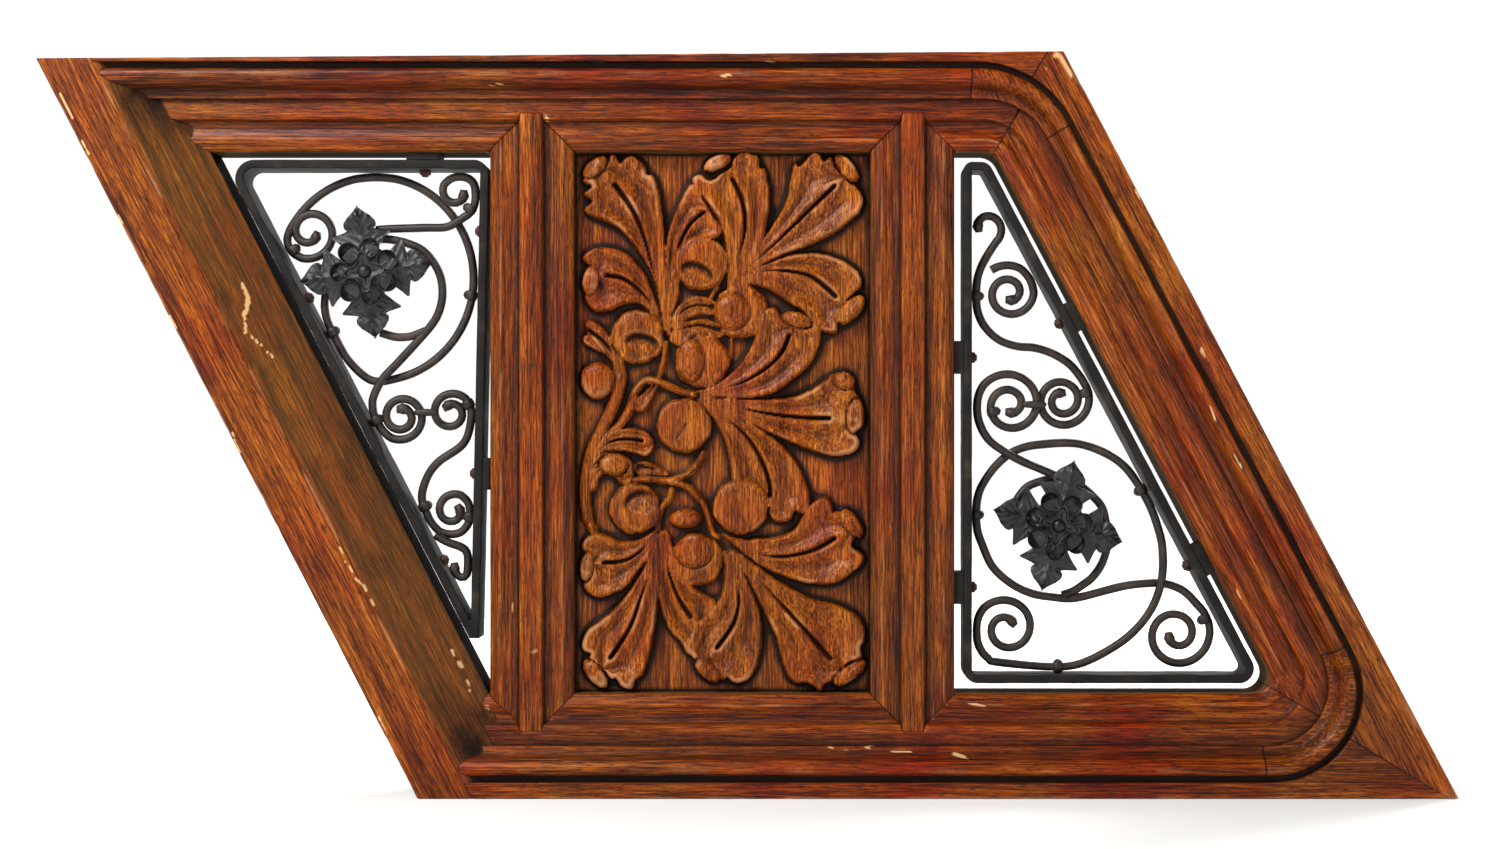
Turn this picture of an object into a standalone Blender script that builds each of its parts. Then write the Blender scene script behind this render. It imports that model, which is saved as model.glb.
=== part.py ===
"""Staircase balustrade panel: a raking oak frame with a carved panel between two wrought iron grilles.

Metres, +Z up. X runs along the rails, the carved front faces -Y, and the panel stands on its underside at
Z = 0 with the origin below its middle. Depths are measured back from the front plane.
"""

import math

import bmesh
import bpy
from mathutils import Matrix, Vector

# Driving dimensions of the frame
BASE_LENGTH = 0.9686
LEFT_HEIGHT = 0.6885
RIGHT_HEIGHT = 0.6950
LEFT_LEAN = 27.25
RIGHT_LEAN = 27.85
THICKNESS = 0.0750
TOP_MARGIN = 0.0027
BOTTOM_MARGIN = 0.0143
RIGHT_MARGIN = 0.0160

# Moulding of the rails and the right stile, measured inwards from the groove's outer side
MOULDING_WIDTH = 0.0800
MOULDING_DROP = 0.0300
STEP_DEPTH = 0.0203
STEP_WIDTH = 0.0500
BEAD_WIDTH = 0.0320
RIGHT_BEAD_WIDTH = 0.0258
GROOVE_WIDTH = 0.0054
GROOVE_DEPTH = 0.0080
BEAD_CROWN = 0.0005
FILLET_DEPTH = 0.0152
FILLET_WIDTH = 0.0035

# Left stile
STILE_WIDTH = 0.0985
STILE_FLAT = 0.0446

# Rounded corners of the moulding, and how far the corner beads run past them
TOP_GROOVE_RADIUS = 0.1020
TOP_ARRIS_RADIUS = 0.0180
BOTTOM_GROOVE_RADIUS = 0.0840
BOTTOM_ARRIS_RADIUS = 0.0160
TOP_BEAD_OVERRUN = 0.0033
BOTTOM_BEAD_OVERRUN = 0.0065
ARC_STEPS = 5

# Muntins and carved panel
MUNTIN_FILLET = 0.0190
LEFT_MUNTIN_INSET = 0.1033
RIGHT_MUNTIN_INSET = 0.5060
MUNTIN_REACH = 0.0380
MITRE_DEPTH = 0.0450
GROUND_DEPTH = 0.0480
BOARD_THICKNESS = 0.0120
TONGUE = 0.0060
RELIEF = 0.0160

# Iron
BAR_WIDTH = 0.0080
BAR_DEPTH = 0.0380
BAR_FRONT = 0.0340
LEFT_GRILLE_GAP = 0.0070
RIGHT_GRILLE_GAP = 0.0090
LEFT_UPRIGHT_TILT = 1.2
LEFT_BEND_RADIUS = 0.0140
LEFT_SHARP_RADIUS = 0.0180
RIGHT_BEND_RADIUS = 0.0140
RIGHT_HEAD_RADIUS = 0.0110
RIGHT_SQUARE_RADIUS = 0.0085
RIGHT_HEAD_WIDTH = 0.0300
CREASE_RADIUS = 0.0003
NOSE_WIDTH = 0.0090
INNER_NOSE_WIDTH = 0.0012
ROD_DIAMETER = 0.0075
BLOCK_LENGTH = 0.0300
NUT_RADIUS = 0.0055
NUT_LENGTH = 0.0060
COLLAR_RADIUS = 0.0056
COLLAR_WIDTH = 0.0060
COLLAR_SIDES = 6
SCROLL_STEP = 45.0
ROD_SPACING = 0.0230
CLIP_LENGTH = 0.0230
CLIP_WIDTH = 0.0070
CLIP_THICKNESS = 0.0040
ROSETTE_REACH = 0.0645
ROSETTE_FRONT = 0.0270
LEFT_ROSETTE_TURN = 8.0
RIGHT_ROSETTE_TURN = -14.0

# Clearance between touching pieces
GAP = 0.0003

# The panel's outline and the lines that its members follow
LEFT_RUN = LEFT_HEIGHT * math.tan(math.radians(LEFT_LEAN))
RIGHT_RUN = RIGHT_HEIGHT * math.tan(math.radians(RIGHT_LEAN))
LENGTH = BASE_LENGTH + LEFT_RUN
HEAD_LEFT = Vector((-LENGTH / 2, LEFT_HEIGHT))
FOOT_LEFT = Vector((-LENGTH / 2 + LEFT_RUN, 0))
FOOT_RIGHT = Vector((LENGTH / 2, 0))
HEAD_RIGHT = Vector((LENGTH / 2 - RIGHT_RUN, RIGHT_HEIGHT))
OUTLINE = (HEAD_LEFT, HEAD_RIGHT, FOOT_RIGHT, FOOT_LEFT)
FRONT = -THICKNESS / 2
OPENING_BOTTOM = BOTTOM_MARGIN + MOULDING_WIDTH
OPENING_TOP = min(LEFT_HEIGHT, RIGHT_HEIGHT) - TOP_MARGIN - MOULDING_WIDTH
OPENING_HEIGHT = OPENING_TOP - OPENING_BOTTOM
STICKING = MOULDING_WIDTH - STEP_WIDTH
MUNTIN_HALF = MUNTIN_FILLET / 2 + STICKING
LEFT_MUNTIN_X = FOOT_LEFT.x + LEFT_MUNTIN_INSET
RIGHT_MUNTIN_X = FOOT_RIGHT.x - RIGHT_MUNTIN_INSET
PANEL_LEFT = LEFT_MUNTIN_X + MUNTIN_HALF
PANEL_RIGHT = RIGHT_MUNTIN_X - MUNTIN_HALF
ROD_DEPTH = BAR_FRONT + BAR_DEPTH / 2
ROD_SHIFT = ROD_DIAMETER / 2 + GAP / 2
ROD_SEAT = COLLAR_RADIUS + GAP


class Line:
    """A line in the front plane; inwards is to the right of the way it runs."""

    def __init__(self, start, towards):
        self.start = start
        self.along = (towards - start).normalized()
        self.inward = Vector((self.along.y, -self.along.x))

    def shifted(self, distance):
        start = self.start + self.inward * distance
        return Line(start, start + self.along)

    def meet(self, other):
        across = self.along.x * other.along.y - self.along.y * other.along.x
        offset = other.start - self.start
        share = (offset.x * other.along.y - offset.y * other.along.x) / across
        return self.start + self.along * share

    def distance(self, point):
        return (point - self.start).dot(self.inward)

    def tilted(self, z, degrees):
        """The line turned clockwise about its point at a height."""
        pivot = self.at_height(z)
        return Line(pivot, pivot + clockwise(self.along, math.radians(degrees)))

    def at_height(self, z):
        return self.start + self.along * ((z - self.start.y) / self.along.y)


TOP_EDGE = Line(HEAD_LEFT, HEAD_RIGHT)
RIGHT_EDGE = Line(HEAD_RIGHT, FOOT_RIGHT)
BOTTOM_EDGE = Line(FOOT_RIGHT, FOOT_LEFT)
LEFT_EDGE = Line(FOOT_LEFT, HEAD_LEFT)
TOP_GROOVE = Line(Vector((0, OPENING_TOP + MOULDING_WIDTH)), Vector((1, OPENING_TOP + MOULDING_WIDTH)))
RIGHT_GROOVE = RIGHT_EDGE.shifted(RIGHT_MARGIN)
BOTTOM_GROOVE = BOTTOM_EDGE.shifted(BOTTOM_MARGIN)


def clockwise(vector, angle):
    return Matrix.Rotation(-angle, 2) @ vector


def direction(degrees):
    return Vector((math.cos(math.radians(degrees)), math.sin(math.radians(degrees))))


def place(point, depth):
    return Vector((point.x, FRONT + depth, point.y))


def outline_hit(start, along):
    """Where a ray from inside the panel leaves its outline."""
    nearest = None
    for first, second in zip(OUTLINE, OUTLINE[1:] + OUTLINE[:1]):
        edge = Line(first, second)
        if along.dot(edge.inward) < -1e-6:
            reach = -edge.distance(start) / along.dot(edge.inward)
            if nearest is None or reach < nearest:
                nearest = reach
    return start + along * nearest


class Corner:
    """A corner of the moulding between two groove lines, rounder at the groove than at the arris."""

    def __init__(self, first, second, outline_corner, groove_radius, arris_radius, overrun):
        self.first = first
        self.second = second
        self.turn = first.along.angle(second.along)
        self.outline_corner = outline_corner
        self.radii = (groove_radius, arris_radius)
        self.overrun = overrun

    def radius(self, inset):
        share = inset / MOULDING_WIDTH
        return self.radii[0] + (self.radii[1] - self.radii[0]) * share

    def inset_on(self, line, inset):
        """An inset where it runs along a line: the right bead is narrower, so its groove lies further in."""
        if line is RIGHT_GROOVE and inset < BEAD_WIDTH:
            return BEAD_WIDTH - (BEAD_WIDTH - inset) * RIGHT_BEAD_WIDTH / BEAD_WIDTH
        return inset

    def centre(self, inset):
        near = self.first.shifted(self.inset_on(self.first, inset) + self.radius(inset))
        return near.meet(self.second.shifted(self.inset_on(self.second, inset) + self.radius(inset)))

    def point(self, inset, angle):
        """A point at an inset from the groove; an inset of None is the panel's outer edge."""
        if inset is None:
            return outline_hit(self.centre(0), clockwise(-self.first.inward, angle))
        return self.centre(inset) + clockwise(-self.first.inward, angle) * self.radius(inset)

    def angles(self, start, end):
        """Even steps between two angles, with one more where the ray meets the outline's corner."""
        steps = [start + (end - start) * i / ARC_STEPS for i in range(ARC_STEPS + 1)]
        to_corner = (self.outline_corner - self.centre(0)).normalized()
        sharp = (-self.first.inward).angle(to_corner)
        nearest = min(abs(sharp - step) for step in steps)
        if start < sharp < end and nearest > math.radians(0.5):
            steps.append(sharp)
        return sorted(steps)

    def ring(self, section, angle, mitre_side=0):
        """A section across the corner; mitre_side of -1 or 1 leaves half a gap before or after the mitre."""
        points = []
        for inset, depth in section:
            clear = mitre_side * GAP / 2 / self.radius(inset or 0)
            points.append(place(self.point(inset, angle + clear), depth))
        return points

    def cut(self, section, side, clear):
        """A square cut across the run before (-1) or after (1) the corner, clear of the joint by a length."""
        line = self.first if side < 0 else self.second
        tangent = self.centre(0) - line.inward * self.radius(0)
        start = tangent + line.along * (side * self.overrun + clear) - line.inward * self.inset_on(line, 0)
        return [place(start + line.inward * self.inset_on(line, inset), depth) for inset, depth in section]


TOP_CORNER = Corner(TOP_GROOVE, RIGHT_GROOVE, HEAD_RIGHT, TOP_GROOVE_RADIUS, TOP_ARRIS_RADIUS, TOP_BEAD_OVERRUN)
BOTTOM_CORNER = Corner(
    RIGHT_GROOVE, BOTTOM_GROOVE, FOOT_RIGHT, BOTTOM_GROOVE_RADIUS, BOTTOM_ARRIS_RADIUS, BOTTOM_BEAD_OVERRUN
)


def new_collection(name):
    collection = bpy.data.collections.new(name)
    bpy.context.scene.collection.children.link(collection)
    return collection


def new_material(name, colour, roughness, metallic):
    material = bpy.data.materials.new(name)
    material.use_nodes = True
    shader = material.node_tree.nodes["Principled BSDF"]
    shader.inputs["Base Color"].default_value = (*colour, 1)
    shader.inputs["Roughness"].default_value = roughness
    shader.inputs["Metallic"].default_value = metallic
    return material


def add_object(name, mesh, material, collection):
    mesh.materials.append(material)
    made = bpy.data.objects.new(name, mesh)
    collection.objects.link(made)
    return made


def finish_bmesh(name, shape, material, collection):
    bmesh.ops.recalc_face_normals(shape, faces=shape.faces)
    mesh = bpy.data.meshes.new(name)
    shape.to_mesh(mesh)
    shape.free()
    return add_object(name, mesh, material, collection)


def add_loft(name, rings, material, collection, caps=None, closed=False):
    """A solid through rings of equally many points. The caps are lists of a ring's point numbers."""
    shape = bmesh.new()
    loops = [[shape.verts.new(point) for point in ring] for ring in rings]
    count = len(rings[0])
    pairs = list(zip(loops, loops[1:] + loops[:1])) if closed else list(zip(loops, loops[1:]))
    for near, far in pairs:
        for i in range(count):
            j = (i + 1) % count
            shape.faces.new((near[i], near[j], far[j], far[i]))
    if not closed:
        for loop in (loops[0], loops[-1]):
            for cap in caps or [range(count)]:
                shape.faces.new([loop[i] for i in cap])
    return finish_bmesh(name, shape, material, collection)


def add_box(name, low, high, material, collection):
    shape = bmesh.new()
    size = high - low
    matrix = Matrix.Translation((low + high) / 2) @ Matrix.Diagonal((*size, 1))
    bmesh.ops.create_cube(shape, size=1, matrix=matrix)
    return finish_bmesh(name, shape, material, collection)


def add_boolean(target, name, operation, operand=None, collection=None):
    modifier = target.modifiers.new(name, "BOOLEAN")
    modifier.operation = operation
    modifier.solver = "EXACT"
    if collection is None:
        modifier.object = operand
    else:
        modifier.operand_type = "COLLECTION"
        modifier.collection = collection


def hide_helper(helper):
    helper.hide_render = True
    helper.display_type = "WIRE"
    return helper


# Oak frame


def sticking_points():
    """The moulding around each opening, from the step to the arris: (inset past the step, depth)."""
    sink = MOULDING_DROP - STEP_DEPTH
    return [
        (STICKING * across, STEP_DEPTH + sink * down)
        for across, down in ((0.0, 0.0), (0.07, 0.52), (0.27, 0.72), (0.45, 0.66), (0.54, 0.50), (0.70, 0.42),
                             (0.88, 0.56), (1.0, 1.0))
    ]


def rail_section():
    moulded = [(STEP_WIDTH + inset, depth) for inset, depth in sticking_points()]
    edge = [(None, THICKNESS), (None, MOULDING_DROP), (None, 0.0)]
    return edge + [(0.0, 0.0), (0.0, STEP_DEPTH)] + moulded + [(MOULDING_WIDTH, THICKNESS)]


def bead_section():
    """Groove, bead, ogee and fillet, closed along the rebate that they lie in."""
    radius = (BEAD_WIDTH - GROOVE_WIDTH) * 0.26
    middle = GROOVE_WIDTH + radius
    points = [(GAP, STEP_DEPTH - GAP), (GAP, GROOVE_DEPTH)]
    for degrees in (180, 135, 90, 45):
        turned = direction(degrees)
        points.append((middle + radius * turned.x, GROOVE_DEPTH - (GROOVE_DEPTH - BEAD_CROWN) * turned.y))
    fillet_start = BEAD_WIDTH - FILLET_WIDTH
    fall = fillet_start - middle - radius
    points.append((middle + radius * 1.08, GROOVE_DEPTH))
    points.append((middle + radius + fall * 0.42, GROOVE_DEPTH + (FILLET_DEPTH - GROOVE_DEPTH) * 0.70))
    points += [(fillet_start, FILLET_DEPTH), (BEAD_WIDTH, FILLET_DEPTH), (BEAD_WIDTH, STEP_DEPTH - GAP)]
    return points


def splay_width(depth):
    """How wide the left stile is at a depth."""
    share = min(depth / MOULDING_DROP, 1.0)
    return STILE_FLAT + (STILE_WIDTH - STILE_FLAT) * share


def coped_ring(section, groove, edge):
    """The end of a rail or bead, cut to fit the left stile's splay."""
    points = []
    for inset, depth in section:
        run = edge if inset is None else groove.shifted(inset)
        points.append(place(run.meet(LEFT_EDGE.shifted(splay_width(depth) + GAP)), depth))
    return points


def half_corner(corner, section, second_half):
    middle = corner.turn / 2
    angles = corner.angles(middle, corner.turn) if second_half else corner.angles(0, middle)
    side = 1 if second_half else -1
    return [corner.ring(section, angle, side if abs(angle - middle) < 1e-9 else 0) for angle in angles]


def add_rails(oak, parts):
    section = rail_section()
    last = len(section) - 1
    caps = [list(range(1, last)), [0, 1, last - 1, last]]
    top = [coped_ring(section, TOP_GROOVE, TOP_EDGE)] + half_corner(TOP_CORNER, section, False)
    stile = half_corner(TOP_CORNER, section, True) + half_corner(BOTTOM_CORNER, section, False)
    bottom = half_corner(BOTTOM_CORNER, section, True) + [coped_ring(section, BOTTOM_GROOVE, BOTTOM_EDGE)]
    return (
        add_loft("top_rail", top, oak, parts, caps),
        add_loft("right_stile", stile, oak, parts, caps),
        add_loft("bottom_rail", bottom, oak, parts, caps),
    )


def add_beads(oak, parts):
    section = bead_section()

    def around(corner):
        angles = [corner.turn * i / (2 * ARC_STEPS) for i in range(2 * ARC_STEPS + 1)]
        before = corner.cut(section, -1, GAP / 2)
        after = corner.cut(section, 1, -GAP / 2)
        return [before] + [corner.ring(section, angle) for angle in angles] + [after]

    top_end = TOP_CORNER.cut(section, -1, -GAP / 2)
    right_ends = [TOP_CORNER.cut(section, 1, GAP / 2), BOTTOM_CORNER.cut(section, -1, -GAP / 2)]
    bottom_end = BOTTOM_CORNER.cut(section, 1, GAP / 2)
    add_loft("top_bead", [coped_ring(section, TOP_GROOVE, TOP_EDGE), top_end], oak, parts)
    add_loft("top_corner_bead", around(TOP_CORNER), oak, parts)
    add_loft("right_bead", right_ends, oak, parts)
    add_loft("bottom_corner_bead", around(BOTTOM_CORNER), oak, parts)
    add_loft("bottom_bead", [bottom_end, coped_ring(section, BOTTOM_GROOVE, BOTTOM_EDGE)], oak, parts)


def add_left_stile(oak, parts):
    section = ((0.0, 0.0), (STILE_FLAT, 0.0), (STILE_WIDTH, MOULDING_DROP), (STILE_WIDTH, THICKNESS), (0.0, THICKNESS))
    rings = []
    for end in (BOTTOM_EDGE, TOP_EDGE):
        rings.append([place(LEFT_EDGE.shifted(width).meet(end), depth) for width, depth in section])
    return add_loft("left_stile", rings, oak, parts)


def tongue_outline(grow):
    """Half of a muntin's pointed end: (distance from its middle, reach past the arris)."""
    inner = MUNTIN_FILLET / 2
    shoulder = STICKING * 0.07
    return [
        (MUNTIN_HALF + grow, grow),
        (inner + shoulder + grow, STICKING - shoulder + grow),
        (inner + grow, MUNTIN_REACH + grow),
    ]


def end_height(across):
    """How far past the arris a muntin reaches at a distance from its middle."""
    outline = tongue_outline(0.0)
    for (outer, low), (inner, high) in zip(outline, outline[1:]):
        if across >= inner:
            return low + (high - low) * (outer - across) / (outer - inner)
    return MUNTIN_REACH


def add_muntin(name, middle, oak, parts, helpers):
    half = [(MUNTIN_FILLET / 2 + inset, depth) for inset, depth in sticking_points()]
    front = [(-across, depth) for across, depth in reversed(half)] + half
    section = front + [(across, THICKNESS) for across, _ in reversed(front)]
    rings = []
    for level, sign in ((OPENING_BOTTOM, -1), (OPENING_TOP, 1)):
        ring = []
        for across, depth in section:
            height = level + sign * end_height(abs(across))
            ring.append(place(Vector((middle + across, height)), depth))
        rings.append(ring)
    count = len(front)
    caps = [[i, i + 1, 2 * count - 2 - i, 2 * count - 1 - i] for i in range(count - 1)]
    muntin = add_loft(name, rings, oak, parts, caps)
    for label, level, sign in (("foot", OPENING_BOTTOM, -1), ("head", OPENING_TOP, 1)):
        ends = sorted((level - sign * GAP, level + sign * 2 * MUNTIN_REACH))
        low = Vector((middle - 2 * MUNTIN_HALF, FRONT + MITRE_DEPTH, ends[0]))
        high = Vector((middle + 2 * MUNTIN_HALF, FRONT + 2 * THICKNESS, ends[1]))
        cutter = hide_helper(add_box(f"{name}_{label}_shoulder", low, high, oak, helpers))
        add_boolean(muntin, label, "DIFFERENCE", cutter)
    return muntin


def add_notch_cutter(name, middle, level, sign, oak, helpers):
    half = [(MUNTIN_HALF + GAP, -MUNTIN_HALF)] + tongue_outline(GAP)
    outline = half + [(-across, reach) for across, reach in reversed(half)]
    rings = []
    for depth in (-THICKNESS, MITRE_DEPTH + GAP):
        rings.append([place(Vector((middle + across, level + sign * reach)), depth) for across, reach in outline])
    return hide_helper(add_loft(name, rings, oak, helpers))


def add_panel_cutter(oak, helpers):
    margin = TONGUE + GAP
    low = Vector((PANEL_LEFT - margin, FRONT + GROUND_DEPTH - GAP, OPENING_BOTTOM - margin))
    high = Vector((PANEL_RIGHT + margin, FRONT + GROUND_DEPTH + BOARD_THICKNESS + GAP, OPENING_TOP + margin))
    return hide_helper(add_box("panel_groove", low, high, oak, helpers))


# Carving


def curve_value(start, middle, end, share):
    """The parabola through three values at shares 0, 1/2 and 1."""
    return (
        start * (share - 0.5) * (share - 1) * 2
        + middle * share * (1 - share) * 4
        + end * share * (share - 0.5) * 2
    )


# The carving is drawn in millimetres from its lower left corner, for a panel of this width and height
CARVING_WIDTH = 280.3
CARVING_HEIGHT = 511.5
# Each leaf: root, middle and tip of its groove, then its width to the left and to the right of the groove at
# the middle and at the tip
LEAVES = {
    "upper_left": ((86, 332), (68, 418), (42, 484), (12, 35), (16, 32)),
    "left": ((84, 338), (62, 380), (22, 391), (11, 27), (15, 27)),
    "small_upright": ((87, 366), (96, 425), (111, 466), (8, 12), (13, 22)),
    "upper_crescent": ((88, 336), (104, 362), (128, 366), (6, 7), (7, 8)),
    "lower_crescent": ((90, 334), (106, 346), (134, 346), (5, 6), (6, 7)),
    "crown": ((143, 388), (162, 438), (149, 488), (16, 32), (17, 31)),
    "upper_right": ((142, 386), (200, 438), (247, 480), (17, 36), (17, 35)),
    "right": ((144, 384), (212, 396), (249, 368), (17, 31), (28, 29)),
    "middle_upright": ((114, 284), (178, 304), (206, 342), (20, 31), (21, 30)),
    "middle_right": ((114, 281), (188, 264), (246, 261), (15, 36), (18, 34)),
    "middle_down": ((114, 278), (166, 236), (194, 186), (19, 28), (18, 26)),
    "lower_left": ((81, 157), (54, 129), (20, 120), (17, 27), (18, 27)),
    "foot_left": ((79, 150), (64, 86), (33, 32), (12, 29), (18, 30)),
    "foot_small": ((84, 150), (94, 98), (112, 66), (13, 21), (9, 17)),
    "foot_middle": ((143, 148), (154, 88), (137, 36), (17, 34), (16, 32)),
    "foot_right": ((144, 146), (204, 78), (245, 30), (18, 37), (18, 37)),
    "lower_right": ((142, 151), (206, 130), (250, 148), (21, 36), (22, 31)),
}
# Rolled leaf ends: centre, length, width and turn in degrees
ROLLS = (
    (20, 496, 34, 13, 50), (12, 391, 25, 13, 90), (134, 501, 26, 12, 22), (257, 496, 30, 12, -55),
    (262, 364, 28, 12, 50), (210, 355, 28, 12, -20), (264, 264, 28, 12, 90), (12, 119, 25, 12, 90),
    (19, 18, 28, 12, -50), (125, 22, 28, 12, -38), (259, 18, 30, 12, 40), (264, 158, 28, 12, -60),
)
# Rounded fruits and buds: centre and radius
FRUITS = (
    (60, 338, 24), (120, 407, 25), (158, 363, 25), (120, 316, 25), (104, 251, 24), (158, 180, 26),
    (58, 174, 24), (114, 126, 25), (105, 163, 9), (24, 294, 15), (42, 217, 12),
)
# Stalks: their width, then the points that they run through
STALKS = (
    (9, (86, 345), (83, 308), (76, 290)),
    (11, (128, 283), (94, 289), (76, 296), (62, 291), (52, 270), (35, 252), (21, 236), (9, 208), (12, 176), (22, 152)),
    (10, (8, 350), (33, 333), (42, 310), (39, 286), (34, 262), (21, 236)),
    (8, (48, 203), (90, 202), (112, 214), (124, 238)),
    (9, (84, 196), (110, 190), (123, 176), (138, 148)),
    (8, (18, 222), (44, 246), (66, 243), (62, 226)),
    (8, (10, 205), (30, 208), (54, 208)),
    (9, (72, 205), (78, 180), (82, 150)),
)
CARVING_SINK = 0.003
LEAF_SHARES = (0.0, 0.35, 0.7, 1.0)
LEAF_ROOT_WIDTH = 3.0
LEAF_TIP = 12.0
TIP_NARROWING = 0.62
FRUIT_SIDES = 8
ROLL_SIDES = 5
CARVING_SCALE = OPENING_HEIGHT / CARVING_HEIGHT


def on_panel(x, z):
    """A point of the carving, which keeps its proportions when the panel changes."""
    across = x / CARVING_WIDTH * (PANEL_RIGHT - PANEL_LEFT)
    return Vector((PANEL_LEFT + across, OPENING_BOTTOM + z * CARVING_SCALE))


def relief_depth(share):
    """The depth of a point that stands proud of the ground by a share of the relief."""
    return GROUND_DEPTH - RELIEF * share


def add_leaf(name, leaf, oak, helpers):
    """A blade with a groove along it, widening and rising from its root to a rounded end."""
    root, middle, tip, left, right = leaf
    spine = [on_panel(*point) for point in (root, middle, tip)]

    def at(share):
        return curve_value(*spine, share)

    rings = []
    for share, ending in [(share, False) for share in LEAF_SHARES] + [(1.0, True)]:
        ahead = (at(share + 0.02) - at(share - 0.02)).normalized()
        side = Vector((-ahead.y, ahead.x))
        here = at(share)
        spreads = [curve_value(LEAF_ROOT_WIDTH, *widths, share) * CARVING_SCALE for widths in (left, right)]
        rise = 0.45 + 0.5 * share
        if ending:
            here = here + ahead * LEAF_TIP * CARVING_SCALE
            spreads = [spread * TIP_NARROWING for spread in spreads]
            rise = 0.55
        edge = rise * 0.72
        stations = (
            (spreads[0], None), (spreads[0], edge), (spreads[0] * 0.45, rise), (0, edge * 0.8),
            (-spreads[1] * 0.45, rise), (-spreads[1], edge), (-spreads[1], None),
        )
        rings.append([
            place(here + side * across, GROUND_DEPTH + CARVING_SINK if height is None else relief_depth(height))
            for across, height in stations
        ])
    return hide_helper(add_loft(name, rings, oak, helpers))


def add_dome(name, centre, lengths, turn, rise, sides, oak, helpers):
    """A low dome on the ground, round or oval."""
    rings = []
    for spread, height in ((1.0, None), (1.0, 0.45), (0.72, 0.9), (0.25, 1.0)):
        depth = GROUND_DEPTH + CARVING_SINK if height is None else relief_depth(height * rise)
        ring = []
        for i in range(sides):
            angle = 2 * math.pi * (i + 0.5) / sides
            offset = Vector((lengths[0] / 2 * math.cos(angle), lengths[1] / 2 * math.sin(angle))) * spread
            ring.append(place(centre + Matrix.Rotation(math.radians(turn), 2) @ offset, depth))
        rings.append(ring)
    return hide_helper(add_loft(name, rings, oak, helpers))


def add_stalk(name, stalk, oak, helpers):
    width, *points = stalk
    path = [on_panel(*point) for point in points]
    rings = []
    for i, here in enumerate(path):
        ahead = (path[min(i + 1, len(path) - 1)] - path[max(i - 1, 0)]).normalized()
        side = Vector((-ahead.y, ahead.x)) * (width * CARVING_SCALE / 2)
        sunk = GROUND_DEPTH + CARVING_SINK
        stations = ((1, sunk), (0.9, relief_depth(0.4)), (0, relief_depth(0.62)), (-0.9, relief_depth(0.4)), (-1, sunk))
        rings.append([place(here + side * across, depth) for across, depth in stations])
    return hide_helper(add_loft(name, rings, oak, helpers))


def add_carved_panel(oak, parts):
    """The board, with everything that is carved on it joined into one solid."""
    elements = new_collection("Carving")
    low = Vector((PANEL_LEFT - TONGUE, FRONT + GROUND_DEPTH, OPENING_BOTTOM - TONGUE))
    high = Vector((PANEL_RIGHT + TONGUE, FRONT + GROUND_DEPTH + BOARD_THICKNESS, OPENING_TOP + TONGUE))
    panel = add_box("carved_panel", low, high, oak, parts)
    for name, leaf in LEAVES.items():
        add_leaf(f"leaf_{name}", leaf, oak, elements)
    for i, (x, z, radius) in enumerate(FRUITS):
        size = (2 * radius * CARVING_SCALE, 2 * radius * CARVING_SCALE)
        add_dome(f"fruit_{i}", on_panel(x, z), size, 0, 0.95, FRUIT_SIDES, oak, elements)
    for i, (x, z, length, width, turn) in enumerate(ROLLS):
        size = (length * CARVING_SCALE, width * CARVING_SCALE)
        add_dome(f"roll_{i}", on_panel(x, z), size, turn, 1.1, ROLL_SIDES, oak, elements)
    for i, stalk in enumerate(STALKS):
        add_stalk(f"stalk_{i}", stalk, oak, elements)
    add_boolean(panel, "carving", "UNION", collection=elements)
    return panel


# Iron grilles


# The scrolls are drawn in millimetres from a grille's square corner, for bars with these clear heights
LEFT_SCROLLS_HEIGHT = 437.6
RIGHT_SCROLLS_HEIGHT = 477.5


class Grille:
    """The clear triangle inside a grille's bars, with places given from its square corner."""

    def __init__(self, level, square, upright, slant, far_side, gap, drawn_height):
        self.gap = gap
        lines = {"level": level, "upright": upright, "slant": slant, "far": far_side}
        self.inner = {name: line.shifted(gap + BAR_WIDTH) for name, line in lines.items()}
        side = square.shifted(gap + BAR_WIDTH)
        self.corner = self.inner["level"].meet(side)
        far = side.meet(far_side.shifted(gap + BAR_WIDTH))
        self.scale = abs(far.y - self.corner.y) / drawn_height

    def at(self, x, z, shift=0.0):
        """A drawn point, with how far it lies behind the middle of the bars."""
        return Vector((self.corner.x + x * self.scale, self.corner.y + z * self.scale, shift))

    def on_bar(self, name, z_or_x, inset):
        """A point beside a bar, at a drawn height (or a drawn distance along the level bar)."""
        bar = self.inner[name]
        if name == "level":
            place_along = Vector((self.corner.x + z_or_x * self.scale, self.corner.y))
        else:
            place_along = bar.at_height(self.corner.y + z_or_x * self.scale)
        return place_along + bar.inward * inset

    def inside(self, point):
        """The same point, moved in where it would touch a bar."""
        for bar in self.inner.values():
            short = ROD_SEAT - bar.distance(point.xy)
            if short > 0:
                point = point + Vector((*(bar.inward * short), 0))
        return point


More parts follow.
